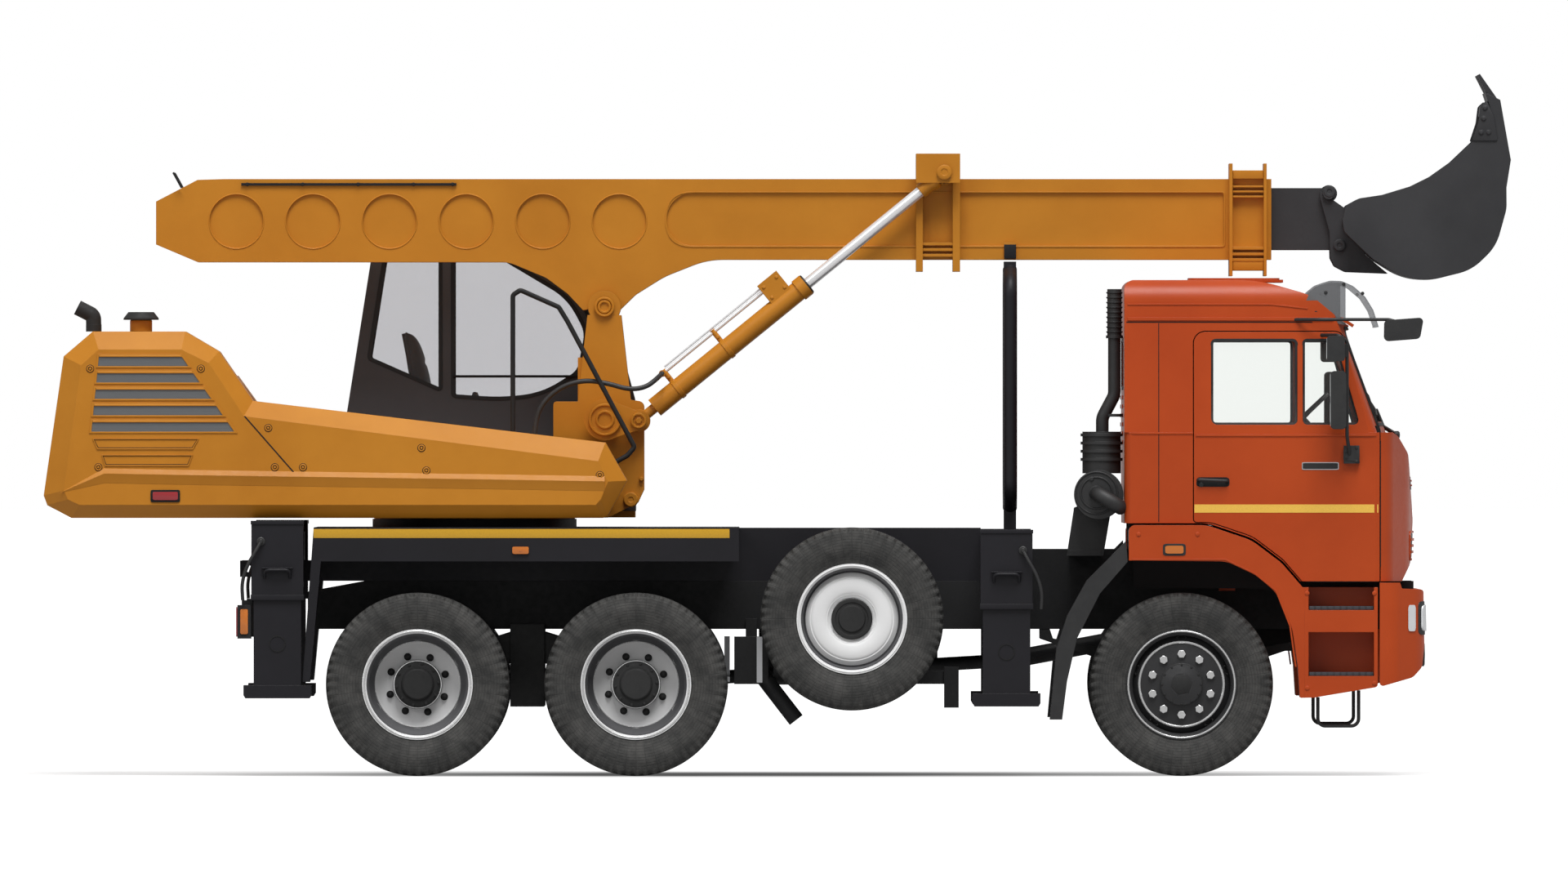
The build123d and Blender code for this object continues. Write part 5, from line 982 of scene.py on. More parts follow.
for hand, side in HANDS:
    for row in ("mid", "rear"):
        place = wheel_frame(f"rims_{row}_{hand}", side)
        body = f"wheels_{row}_{hand}"
        shape = bmesh.new()
        for spot in ring_of(place, 179, 8, 0.35, -198):
            bolt(shape, spot, 17, 22)
            lathe(shape, [(9, 20), (9, 32), (7, 34), (0, 34)], spot, 12)
        piece(f"nuts_{row}_{hand}", shape, CAST_BLACK, body)
        shape = bmesh.new()
        hub = [
            (150, -196), (150, -150), (141, -124), (118, -112), (100, -112), (97, -99), (88, -92), (0, -90)
        ]
        lathe(shape, hub, place, 48)
        for spot in ring_of(place, 128, 10, 0.1, -116):
            bolt(shape, spot, 9, 8, washer=False)
        piece(f"hub_{row}_{hand}", shape, CAST_BLACK, body)
        shape = bmesh.new()
        bead_ring(shape, place, RIM_LIP_R, 7, -3)
        bead_ring(shape, place, 262, 4, -196)
        for spot in ring_of(place, 281, 6, 0.52, -171):
            tilt = spot @ Matrix.Rotation(math.radians(-50), 4, "Y")
            lathe(
                shape, [(26, -2), (30, 2), (26, 5), (21, 1), (18, -4)],
                tilt @ Matrix.Diagonal((0.6, 1.0, 1.0, 1.0)), 20,
            )
        piece(f"rim_rings_{row}_{hand}", shape, RIM_BRIGHT, body)
        # the barrel's dark grey lining: painted shade of the deep well, with road dust
        shape = bmesh.new()
        barrel_shade_lining(shape, place, -196, -143)
        piece(f"rim_barrel_shades_{row}_{hand}", shape, RIM_BARREL_SHADE_AND_DUST, body)

    place = wheel_frame(f"rim_front_{hand}", side)
    body = f"wheel_front_{hand}"
    shape = bmesh.new()
    for spot in ring_of(place, 186, 10, math.tau / 20, -56):
        bolt(shape, spot @ Matrix.Rotation(math.pi / 6, 4, "Z"), 26, 20, washer=False)
    bead_ring(shape, place, 258, 8, -66)
    piece(f"nuts_front_{hand}", shape, RIM_BRIGHT, body)
    shape = bmesh.new()
    bead_ring(shape, place, RIM_LIP_R, 6, -29)
    piece(f"rim_ring_front_{hand}", shape, RIM_BRIGHT, body)
    shape = bmesh.new()
    lathe(
        shape, [(132, -46), (132, -22), (126, -16), (112, -16), (108, -20), (86, -12), (80, -6), (0, -6)],
        place, 48,
    )
    lathe(shape, [(68, -8), (68, 0), (62, 3), (0, 3)], place, 6, 0.2)
    for spot in ring_of(place, 119, 12, 0.0, -16):
        bolt(shape, spot, 7, 6, washer=False)
    for spot in ring_of(place, 286, 5, math.tau / 4, -84):
        lathe(shape, [(26, 0), (27, 6), (22, 8), (19, 2)], spot @ Matrix.Diagonal((0.5, 1.2, 1.0, 1.0)), 16)
    piece(f"hub_front_{hand}", shape, CAST_BLACK, body)

place = wheel_frame("spare_rim", -1)
shape = bmesh.new()
lathe(shape, [(150, -60), (156, -50), (168, -44), (236, -44), (250, -50), (260, -62), (266, -80)], place, 64)
bead_ring(shape, place, RIM_LIP_R, 6, -3)
piece("spare_disc", shape, DISC_WHITE, "chassis")
# the spare's barrel lining: painted shade of its well, with road dust
shape = bmesh.new()
barrel_shade_lining(shape, place, -72, -76)
piece("spare_barrel_shade", shape, RIM_BARREL_SHADE_AND_DUST, "chassis")
shape = bmesh.new()
lathe(
    shape, [(126, -60), (126, -50), (120, -43), (102, -43), (98, -48), (84, -48), (78, -38), (0, -36)],
    place, 48,
)
for spot in ring_of(place, 285, 6, math.tau / 4, -90):
    lathe(shape, [(22, 0), (23, 5), (18, 7), (15, 2)], spot @ Matrix.Diagonal((0.5, 1.3, 1.0, 1.0)), 16)
piece("spare_core", shape, CAST_BLACK, "chassis")
print("wheel fittings made")

# %% [markdown]
# ## Engine housing
#
# Five louvres sit in a shallow panel, each a slanted slot with woven wire behind it. Below them two pressed
# steps, a long folded crease, washers over the panel's screws and a red lamp. Everything is drawn on the
# housing's flat side, from its rear bottom corner, so that a dimension of the real panel can be used as it
# is.

# %% Louvres, pressings and screws
place = beside("engine_housing", -1)
# flat black for the shut lines, and painted shade in pressed pockets, round screws, sight holes, pull wells
# and wheel arches
BLACK_GAP_AND_SHADE = moulded("shut_line_shadow", "#0E0E0F", "#151516", 0.9, grain=0.0, edge=1)
yellow = bmesh.new()
wire = bmesh.new()
for row in range(5):
    top = 993 - 100 * row
    fall = 65
    left = 340 - 0.10 * (993 - top)
    right = 840 + 0.70 * (993 - top)
    opening = [(left, top), (right, top), (right + 0.7 * fall, top - fall), (left - 0.1 * fall, top - fall)]
    lip = [
        (left - 12, top + 12), (right + 8, top + 12), (right + 0.7 * fall + 20, top - fall - 10),
        (left - 20, top - fall - 10),
    ]
    plate(yellow, lip, -4, 5, place, hole=opening)
    plate(wire, opening, -2, 1, place, bevel=0)
    # the hood of each louvre leans out over its mesh
    hood = [(left + 2, top + 2), (right - 2, top + 2), (right + 6, top - 9), (left, top - 9)]
    plate(yellow, hood, 0, 9, place, bevel=3)
shade = bmesh.new()
for rear_u, front_u, top, fall, inset in ((305, 945, 483, 58, 34), (360, 908, 383, 60, 24)):
    outer = [
        (rear_u, top), (front_u, top), (front_u - inset, top - fall), (rear_u + 0.8 * inset, top - fall)
    ]
    plate(yellow, grown(outer, 7), -2, 6, place, hole=grown(outer, -3))
    # a thin black frame just inside each step's rim: painted shadow of the rim
    plate(shade, grown(outer, -3), -2, 0.8, place, hole=grown(outer, -8))
# black rings round each washer and round each screw head below: painted shade where they meet
for u, v in (
    (286, 912), (962, 912), (336, 310), (1414, 310), (1586, 310), (1374, 550), (2310, 428), (2340, 290),
    (3400, 262),
):
    lathe(shade, [(25, -1), (25, 0.8), (17, 0.8), (17, -1), (25, -1)], at(place, u, v), 24)
    lathe(yellow, [(21, -1), (21, 3), (18, 5), (14, 5), (12, 2), (0, 2)], at(place, u, v), 24)
    lathe(shade, [(11, 1), (11, 3.2), (0, 3.2)], at(place, u, v), 20)
    lathe(yellow, [(8, 2), (8, 6), (6, 7), (0, 7)], at(place, u, v), 6)
piece("housing_pressings", yellow, MACHINE_YELLOW, "upper")
piece("louvre_mesh", wire, WIRE_MESH, "upper")

print("louvres and pressings made")

# %% Fold, seams and lamp
# the long fold above the housing's foot: a ledge that leans out, over a flank that turns down into the shade
fold = bmesh.new()
stations = [
    (90, 150, 0.0), (372, 272, 1.0), (900, 262, 1.0), (1800, 249, 1.0), (2700, 236, 1.0), (3430, 224, 1.0)
]
rings = []
for u, v, size in stations:
    section = [(v + 34 * size, -1), (v, 16 * size), (v - 8 * size, 13 * size), (v - 64 * size, -1)]
    rings.append([fold.verts.new(place @ Vector((u, height, w))) for height, w in section])
for ring, following in zip(rings, rings[1:]):
    for a, b in ((0, 1), (1, 2), (2, 3), (3, 0)):
        fold.faces.new((ring[a], ring[b], following[b], following[a]))
fold.faces.new(rings[-1])
piece("housing_fold", fold, MACHINE_YELLOW, "upper")
neck = bmesh.new()
at_neck = Matrix.Translation(Vector(corners("exhaust_and_intake")[0]) + Vector((411, 108, 0)))
lathe(neck, [(65, 1), (68, 1), (68, 66), (65, 70)], at_neck, 40)
piece("intake_neck", neck, MACHINE_YELLOW, "upper")

plate(shade, [(1225, 621), (1232, 625), (1545, 268), (1539, 263)], -1, 1.5, place, bevel=0)
plate(shade, oblong((655, 835), (97, 172), 12), -1, 7, place, bevel=3)
piece("housing_seams_and_painted_shade", shade, BLACK_GAP_AND_SHADE, "upper")
lamp = bmesh.new()
plate(lamp, oblong((668, 822), (110, 160), 9), 2, 12, place, bevel=4)
piece("housing_lamp", lamp, RED_LENS, "upper")

print("housing's right side dressed")

# %% Counterweight
# the counterweight's far side carries the same lamp, two lifting eyes and a service flap
place = beside("counterweight", 1)
yellow = bmesh.new()
plate(yellow, oblong((400, 1040), (200, 600), 40), -2, 6, place, bevel=3)
for u, v in ((440, 240), (1000, 240), (440, 560), (1000, 560)):
    lathe(yellow, [(20, 5), (20, 9), (14, 11), (0, 11)], at(place, u, v), 24)
    lathe(yellow, [(9, 9), (9, 14), (0, 15)], at(place, u, v), 6)
for u in (380, 940):
    lathe(yellow, [(16, 0), (34, 0), (38, 8), (34, 16), (16, 16), (13, 8), (16, 0)], at(place, u, 700), 28)
piece("counterweight_flap", yellow, MACHINE_YELLOW, "upper")
lamp = bmesh.new()
plate(lamp, oblong((668, 822), (110, 160), 9), -2, 12, place, bevel=4)
piece("counterweight_lamp", lamp, RED_LENS, "upper")
print("housing dressed")

# %% [markdown]
# ## Deck and outriggers
#
# A strip of ochre reflective tape runs along the deck's edge over a small amber marker. Each outrigger
# sleeve carries a grab handle under a folded guard, a hydraulic hose and folded collars, and each leg has a
# round sight hole.

# %% Deck tape, markers, handles and outrigger hoses
for hand, side in HANDS:
    place = beside("deck_and_subframe", side)
    strip = bmesh.new()
    plate(strip, oblong((76, 2618), (880, 935)), -1, 2, place, bevel=0.6)
    piece(f"deck_tape_{hand}", strip, DECK_TAPE, "chassis")
    lamp = bmesh.new()
    plate(lamp, oblong((1291, 1391), (783, 827), 8), 8, 16, place, bevel=4)
    lathe(lamp, [(9, 14), (9, 18), (0, 20)], at(place, 1341, 805), 16)
    piece(f"deck_marker_{hand}", lamp, AMBER_LENS, "chassis")
    black = bmesh.new()
    hose = bmesh.new()
    for row in ("rear", "front"):
        leg = at(beside(f"outrigger_leg_{row}_{hand}", side), 207.5, 0)
        foot = 600 if row == "rear" else 595  # the sleeve's lower mouth above the foot
        rise = 485  # height of the sleeve
        # folded collars round the sleeve's mouth and its top
        plate(black, oblong((-163, 163), (foot, foot + 34)), -1, 7, leg, bevel=2)
        plate(black, oblong((-163, 163), (foot + rise - 22, foot + rise + 1)), -1, 7, leg, bevel=2)
        # grab handle: a bent round bar under a folded guard
        bar_v = foot + (185 if row == "rear" else 215)
        route = [(-78, bar_v - 48, 0), (-78, bar_v, 42), (78, bar_v, 42), (78, bar_v - 48, 0)]
        tube(black, bent(route, 34), 9, place=leg)
        plate(black, oblong((-96, 96), (bar_v + 8, bar_v + 16)), 0, 34, leg, bevel=2)
        # the jack's hose, from its fitting down into the sleeve
        lean = -1 if row == "rear" else 1
        eye = at(leg, lean * 100, foot + 360)
        route = [
            (0, 0, 22), (lean * 29, -55, 35), (lean * 85, -150, 42), (lean * 117, -255, 34),
            (lean * 111, -359, 22),
        ]
        tube(hose, bent(route, 60), 11, place=eye)
        lathe(hose, [(26, -2), (26, 10), (20, 14), (13, 14), (13, 30), (9, 34), (0, 34)], eye, 20)
        # the sight hole is a black disc: painted shade of the leg's inside
        sight = bmesh.new()
        lathe(sight, [(52, -1), (52, 3), (45, 4), (43, -3), (0, -3)], at(leg, 0, 333, -15), 32)
        piece(f"leg_sight_hole_{row}_{hand}", sight, BLACK_GAP_AND_SHADE, f"outrigger_{row}_{hand}")
    piece(f"sleeve_fittings_{hand}", black, OUTRIGGER_BLACK, "chassis")
    piece(f"outrigger_hoses_{hand}", hose, HOSE_RUBBER, "chassis")
    tail = bmesh.new()
    plate(tail, oblong((18, 64), (28, 180), 8), -2, 8, beside("lamps", side), bevel=3)
    piece(f"tail_lens_side_{hand}", tail, AMBER_LENS, "chassis")
    tail = bmesh.new()
    rear = at(behind("lamps"), side * 1120, 0)
    plate(tail, oblong((-100, -6), (12, 193), 10), -2, 8, rear, bevel=3)
    plate(tail, oblong((6, 100), (12, 193), 10), -2, 8, rear, bevel=3)
    piece(f"tail_lens_rear_{hand}", tail, RED_LENS, "chassis")
print("deck dressed")

# %% [markdown]
# ## Boom, mast and lift cylinders
#
# Weld beads run round the recesses pressed into the boom's sides. The mast's pins stand in round bosses,
# the lift cylinders have bright oil pipes and yellow rod ends, and a dark bar runs along the boom above the
# mast. The front collar has its webs and ribs. They stay separate from the boom's shell, as on the real one
# they are welded on.

# %% Boom fittings
COLLAR_SPAN = (6606, 6795)  # between the front collar's flanges
COLLAR_RIBS = (746, 777, 808)  # the lower edge of each rib between those flanges
REST_EAR = (5203, 5277)  # the ears that stand over the rest's posts
LIFT_LEAN = math.atan2(1524.5, 1874.5)  # the cylinder's rise over its reach at rest
MAST_LEFT_INSET = 620  # how far inside the node's box its left cheek lies
webs = bmesh.new()
for v in ((299, 364), (861, 913)):
    plate(webs, oblong(COLLAR_SPAN, v), -695, -145, beside("boom_outer", -1), bevel=2)
piece("collar_webs", webs, MACHINE_YELLOW, "boom")
for hand, side in HANDS:
    place = beside("boom_outer", side)
    weld = bmesh.new()
    for index in range(6):
        bead_ring(weld, at(place, 493 + 470 * index, 600), 168, 4, -185)
    ends = softened(oblong((3128, 6556), (445, 780)), [162, 20, 20, 162], steps=8)
    plate(weld, grown(ends, 4), -186, -181, place, hole=grown(ends, -4))
    piece(f"boom_welds_{hand}", weld, MACHINE_YELLOW, "boom")
    dark = bmesh.new()
    ribbon(dark, "boom_outer", place, [(523, 827), (1843, 827)], 16, 2, 14)
    for u in (560, 900, 1240, 1580, 1820):
        lathe(dark, [(12, -2), (12, 18), (9, 20), (0, 20)], on_skin("boom_outer", place, u, 827), 12)
    tube(dark, bent([(106, 900, -150), (122, 872, -150), (158, 806, -150)], 20), 7, place=place)
    piece(f"boom_bar_{hand}", dark, CHASSIS_BLACK, "boom")
    ribs = bmesh.new()
    boss = bmesh.new()
    lathe(boss, [(46, -3), (46, 6), (40, 9), (22, 9), (19, 6), (0, 6)], at(place, 4836, 901), 32)
    piece(f"rod_pin_boss_{hand}", boss, MACHINE_YELLOW, "boom")
    for v in COLLAR_RIBS:
        plate(ribs, oblong(COLLAR_SPAN, (v, v + 12)), -184, -142, place, bevel=1.5)
    piece(f"collar_ribs_{hand}", ribs, MACHINE_YELLOW, "boom")
    pad = bmesh.new()
    plate(pad, oblong(REST_EAR, (371, 458)), -164.5, -158, place, bevel=2)
    piece(f"boom_rest_pad_{hand}", pad, OUTRIGGER_BLACK, "boom")

    place = beside("turntable_and_mast", side) if side < 0 else at(
        beside("turntable_and_mast", side), 0, 0, -MAST_LEFT_INSET
    )
    rings = bmesh.new()
    for u, v, radii in ((2833, 1300, (58, 38)), (2837, 608, (96, 54)), (3043.5, 602, (45,))):
        for radius in radii:
            spot = on_skin("turntable_and_mast", place, u, v)
            rise = [(radius + 4, -3), (radius + 4, 6), (radius, 11)]
            fall = [(radius - 9, 11), (radius - 13, 5), (radius - 13, -3)]
            lathe(rings, rise + fall, spot, 48)
    lathe(
        rings, [(22, -2), (22, 8), (18, 11), (0, 11)], on_skin("turntable_and_mast", place, 3043.5, 602), 6
    )
    lathe(
        rings, [(46, -40), (46, 22), (40, 28), (18, 28), (14, 24), (0, 24)],
        on_skin("turntable_and_mast", place, 2995, 118), 32,
    )
    lathe(
        rings, [(14, -4), (14, 26), (10, 30), (0, 30)], on_skin("turntable_and_mast", place, 3060, 245), 16
    )
    piece(f"mast_pins_{hand}", rings, MACHINE_YELLOW, "upper")

    place = beside(f"lift_barrel_{hand}", side)
    along = at(place, 70.5, 70, -82) @ Matrix.Rotation(LIFT_LEAN, 4, "Z")
    bright = bmesh.new()
    tube(bright, [(306, 134, 0), (1092, 134, 0)], 11.5, 16, place=along)
    tube(bright, bent([(330, 158, 0), (1080, 158, 0), (1110, 150, -10)], 30), 5, 10, place=along)
    piece(f"lift_pipe_{hand}", bright, CHROME_WITH_PAINTED_REFLECTION, f"lift_barrel_{hand}")
    dark = bmesh.new()
    axle = along @ Matrix.Rotation(math.pi / 2, 4, "Y")
    lathe(
        dark, [(36, 1323), (66, 1323), (68, 1327), (64, 1334), (44, 1336), (38, 1334), (36, 1323)], axle, 32
    )
    piece(f"lift_gland_{hand}", dark, SEAL_RUBBER, f"lift_barrel_{hand}")
    straps = bmesh.new()
    for along_u in (311, 700):
        lathe(
            straps, [(61, along_u - 15), (66, along_u - 13), (66, along_u + 13), (61, along_u + 15)], axle,
            32,
        )
        bolt(straps, at(along, along_u, 92, 16), 9)
    for along_u, lift in ((1110, 70), (1110, 150), (1210, 70), (1210, 150)):
        bolt(straps, at(along, along_u, lift, 44), 9)
    piece(f"lift_straps_{hand}", straps, MACHINE_YELLOW, f"lift_barrel_{hand}")
    knuckle = bmesh.new()
    place = beside(f"lift_rod_{hand}", side)
    low, high = corners(f"lift_rod_{hand}")
    along = at(place, high.x - low.x - 74, high.z - low.z - 74.5, -33.5) @ Matrix.Rotation(LIFT_LEAN, 4, "Z")
    axle = along @ Matrix.Rotation(math.pi / 2, 4, "Y")
    lathe(
        knuckle, [(34, -190), (44, -188), (46, -180), (46, -120), (56, -96), (56, -70), (40, -60)], axle, 28
    )
    lathe(knuckle, [(60, -30), (75, -30), (77, -26), (77, 26), (75, 30), (60, 30)], along, 40)
    piece(f"lift_rod_end_{hand}", knuckle, MACHINE_YELLOW, f"lift_rod_{hand}")
print("boom dressed")

# %% [markdown]
# ## Bucket
#
# The bucket's ears have pin bosses, and a bolted side cutter guards each end of the lip. The shell and its
# teeth are in the CAD already, so only what is bolted or pinned on is added.

# %% Bucket fittings
for hand, side in HANDS:
    place = beside("bucket", side)
    bosses = bmesh.new()
    for u, v, radius in ((54.5, 538.5, 36), (120, 210.5, 36)):
        spot = on_skin("bucket", place, u, v)
        lathe(bosses, [(radius, -3), (radius, 7), (radius - 4, 10), (16, 10), (14, 6), (0, 6)], spot, 32)
    cutter = softened([(930, 850), (968, 965), (980, 1064), (1018, 1098), (1062, 1000), (1086, 850)], 12)
    plate(bosses, cutter, -3, 8, place, bevel=3)
    for u, v in ((985, 900), (1030, 900), (1000, 985), (1008, 1050)):
        bolt(bosses, at(place, u, v, 8), 12)
    piece(f"bucket_bosses_{hand}", bosses, WORN_GREY, "bucket")
print("bucket dressed")

# %% [markdown]
# ## Operator's cab
#
# Black rubber holds the panes. The boom side has a guard bar across the front pane, and the door side a
# lever handle. The seat inside is a bought-in suspension seat: cushions on a box with armrests and two
# levers.

# %% Pane seals
FRONT_PANE = [
    (654, 708), (654, 1593), (895, 1593), (1365, 1313), (1475, 1103), (1430, 858), (1205, 718), (955, 688)
]
FRONT_PANE_RADII = [20, 20, 300, 250, 60, 60, 200, 200]
REAR_PANE = [(137, 938), (240, 1593), (575, 1593), (575, 745)]
DOOR_SIDE_INSET = 26  # the cab's door side lies this far inside its box


def seal(shape, ring, low, high, place, out=13, inward=11):
    """A rubber frame over the edge of a pane's opening."""
    plate(shape, grown(ring, out), low, high, place, bevel=0, hole=grown(ring, -inward))


front_ring = softened(FRONT_PANE, FRONT_PANE_RADII, steps=9)
rear_ring = softened(REAR_PANE, 20)
place = beside("operator_cab", -1)
rubber = bmesh.new()
seal(rubber, front_ring, -1, 5, place)
seal(rubber, rear_ring, -1, 5, place)
far_side = at(beside("operator_cab", 1), 0, 0, -DOOR_SIDE_INSET)
seal(rubber, rear_ring, -1, 4, far_side)
piece("operator_cab_seals", rubber, SEAL_RUBBER, "upper")
rubber = bmesh.new()
seal(rubber, front_ring, -1, 4, far_side)
piece("operator_door_seal", rubber, SEAL_RUBBER, "operator_door")

print("operator's panes sealed")

# %% Guard bars, door handle and roof hatch
bars = bmesh.new()
route = [(660, 828, -2), (660, 828, 26), (1440, 828, 26), (1440, 828, -2)]
tube(bars, bent(route, 22), 8, place=place)
route = [(880, 1600, 14), (1100, 1545, 14), (1365, 1380, 14), (1490, 1200, 14), (1520, 1040, 14)]
tube(bars, bent(route, 200), 8, place=place)
for u, v in ((880, 1600), (1365, 1380), (1520, 1040)):
    lathe(bars, [(12, -1), (12, 8), (9, 10), (0, 10)], at(place, u, v - 4 if u < 900 else v), 16)
piece("operator_cab_bars", bars, CHASSIS_BLACK, "upper")

handle = bmesh.new()
spot = at(far_side, 740, 560)
plate(handle, oblong((-70, 70), (-26, 26), 12), -2, 4, spot, bevel=2)
route = [(-48, 0, 2), (-48, 0, 22), (52, 0, 22), (52, 0, 2)]
tube(handle, bent(route, 14), 8, place=spot)
piece("operator_door_handle", handle, PLASTIC_BLACK, "operator_door")

# roof of the operator's cab: a raised hatch
OPERATOR_DOOR_Y = 1240
low, high = corners("operator_cab")
roof_plate = bmesh.new()
overhead = Matrix(
    ((1, 0, 0, low.x), (0, 1, 0, (low.y + OPERATOR_DOOR_Y) / 2), (0, 0, 1, high.z), (0, 0, 0, 1))
)
patch(roof_plate, "operator_cab", overhead, (330, 820), (-260, 260), -2, 9, corner=50)
piece("operator_cab_hatch", roof_plate, CAB_ANTHRACITE, "upper")
print("operator's cab fittings made")

# %% A padded seat


def cushion(shape, place, size, crown=0.3, channels=()):
    """A crowned pad: full in its middle, with soft rims, sides drawn in, and sewn channels."""
    length, width, height = size
    rows, columns = 36, 28
    layers = []
    for sign, share in ((1, 0.72), (-1, 0.28)):
        layer = []
        for row in range(rows + 1):
            p = math.sin((row / rows - 0.5) * math.pi)
            line = []
            for column in range(columns + 1):
                q = math.sin((column / columns - 0.5) * math.pi)
                rim = max(0.0, (1 - p**8) * (1 - q**8)) ** 0.45
                bulge = 1 - crown + crown * (1 - p * p) * (1 - q * q)
                sewn = sum(math.exp(-(((p - channel) * length / 22) ** 2)) for channel in channels)
                lift = height * share * rim * bulge * (1 - 0.16 * sewn * (sign > 0))
                u = length / 2 * p * (1 - 0.04 * (1 - q * q))
                v = width / 2 * q * (1 - 0.04 * (1 - p * p))
                line.append(place @ Vector((u, v, 0.28 * height + sign * lift)))
            layer.append(line)
        layers.append(layer)
    rim_spots = [(0, column) for column in range(columns)] + [(row, columns) for row in range(rows)]
    rim_spots += [(rows, columns - column) for column in range(columns)] + [
        (rows - row, 0) for row in range(rows)
    ]
    shared = {spot: shape.verts.new(layers[0][spot[0]][spot[1]]) for spot in rim_spots}
    for layer in layers:
        verts = []
        for row, line in enumerate(layer):
            verts.append(
                [shared.get((row, column)) or shape.verts.new(point) for column, point in enumerate(line)]
            )
        for line, above in zip(verts, verts[1:]):
            for index in range(columns):
                shape.faces.new((line[index], line[index + 1], above[index + 1], above[index]))
    piping = [shared[spot].co.copy() for spot in rim_spots]
    tube(shape, piping + piping[:2], 5, 8)


def seat(name, node, body, base, width, rake, armrests, tall=560):
    """A cab seat about the middle of its foot: squab, back and shell, standing for a CAD node."""
    made = []
    squab = bmesh.new()
    cushion(
        squab, at(base, 0, 0, 300) @ Matrix.Rotation(math.radians(-4), 4, "Y"), (430, width, 125),
        channels=(-0.35, 0.3),
    )
    made.append(piece(f"{name}_squab", squab, SEAT_VINYL, body, smooth=60))
    back = bmesh.new()
    backrest = at(base, -160, 0, 400) @ Matrix.Rotation(math.radians(90 - rake), 4, "Y")
    backrest = backrest @ Matrix.Rotation(math.pi, 4, "Z")
    cushion(back, at(backrest, 0.47 * tall, 0), (tall, width - 30, 125), channels=(-0.45, -0.05, 0.4))
    made.append(piece(f"{name}_back", back, SEAT_VINYL, body, smooth=60))
    shell = bmesh.new()
    plate(shell, oblong((-200, 190), (-0.42 * width, 0.42 * width), 40), 2, 30, base, bevel=6)
    plate(shell, oblong((-150, 150), (-0.33 * width, 0.33 * width), 30), 30, 250, base, bevel=4)
    plate(shell, oblong((-205, 205), (-0.44 * width, 0.44 * width), 40), 250, 305, base, bevel=6)
    plate(shell, oblong((-10, tall - 20), (-0.42 * width, 0.42 * width), 60), 6, 40, backrest, bevel=6)
    for sign in (-1, 1) if armrests else ():
        arm = at(base, 0, sign * (width / 2 + 42), 420)
        plate(shell, oblong((-170, 200), (-36, 36), 30), 60, 96, arm, bevel=10)
        tube(shell, bent([(-150, 0, 70), (-165, 0, -30), (-190, 0, -90)], 40), 14, place=arm)
        tube(shell, bent([(170, 0, 90), (176, 0, 150), (172, 0, 205)], 30), 9, place=arm)
        lathe(shell, [(0, 195), (16, 198), (21, 225), (20, 250), (13, 268), (0, 272)], at(arm, 172, 0), 16)
    made.append(piece(f"{name}_shell", shell, PLASTIC_BLACK, body, smooth=40))
    for item in made:
        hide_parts(node)


low, high = corners("operator_seat")
base = Matrix.Translation((low.x + 290, (low.y + high.y) / 2, low.z + 1))
seat("operator_seat_new", "operator_seat", "upper", base, 440, 11, True, tall=680)
print("operator's cab dressed")

# %% [markdown]
# ## Truck cab
#
# The shell's panels meet at pressed seams and the panes sit in black rubber. Each door has its recessed
# pull, a yellow reflective stripe, a blank plate and the mirror's foot. Wipers, a slatted grille, headlamps
# and a roof hatch finish the front, and the rear wall has its pressed ribs.

# %% Seams, folds and doors
DOOR_REAR_U = 425  # a door's rear edge, from the rear of the cab shell
DOOR_FACE_Y = 1210


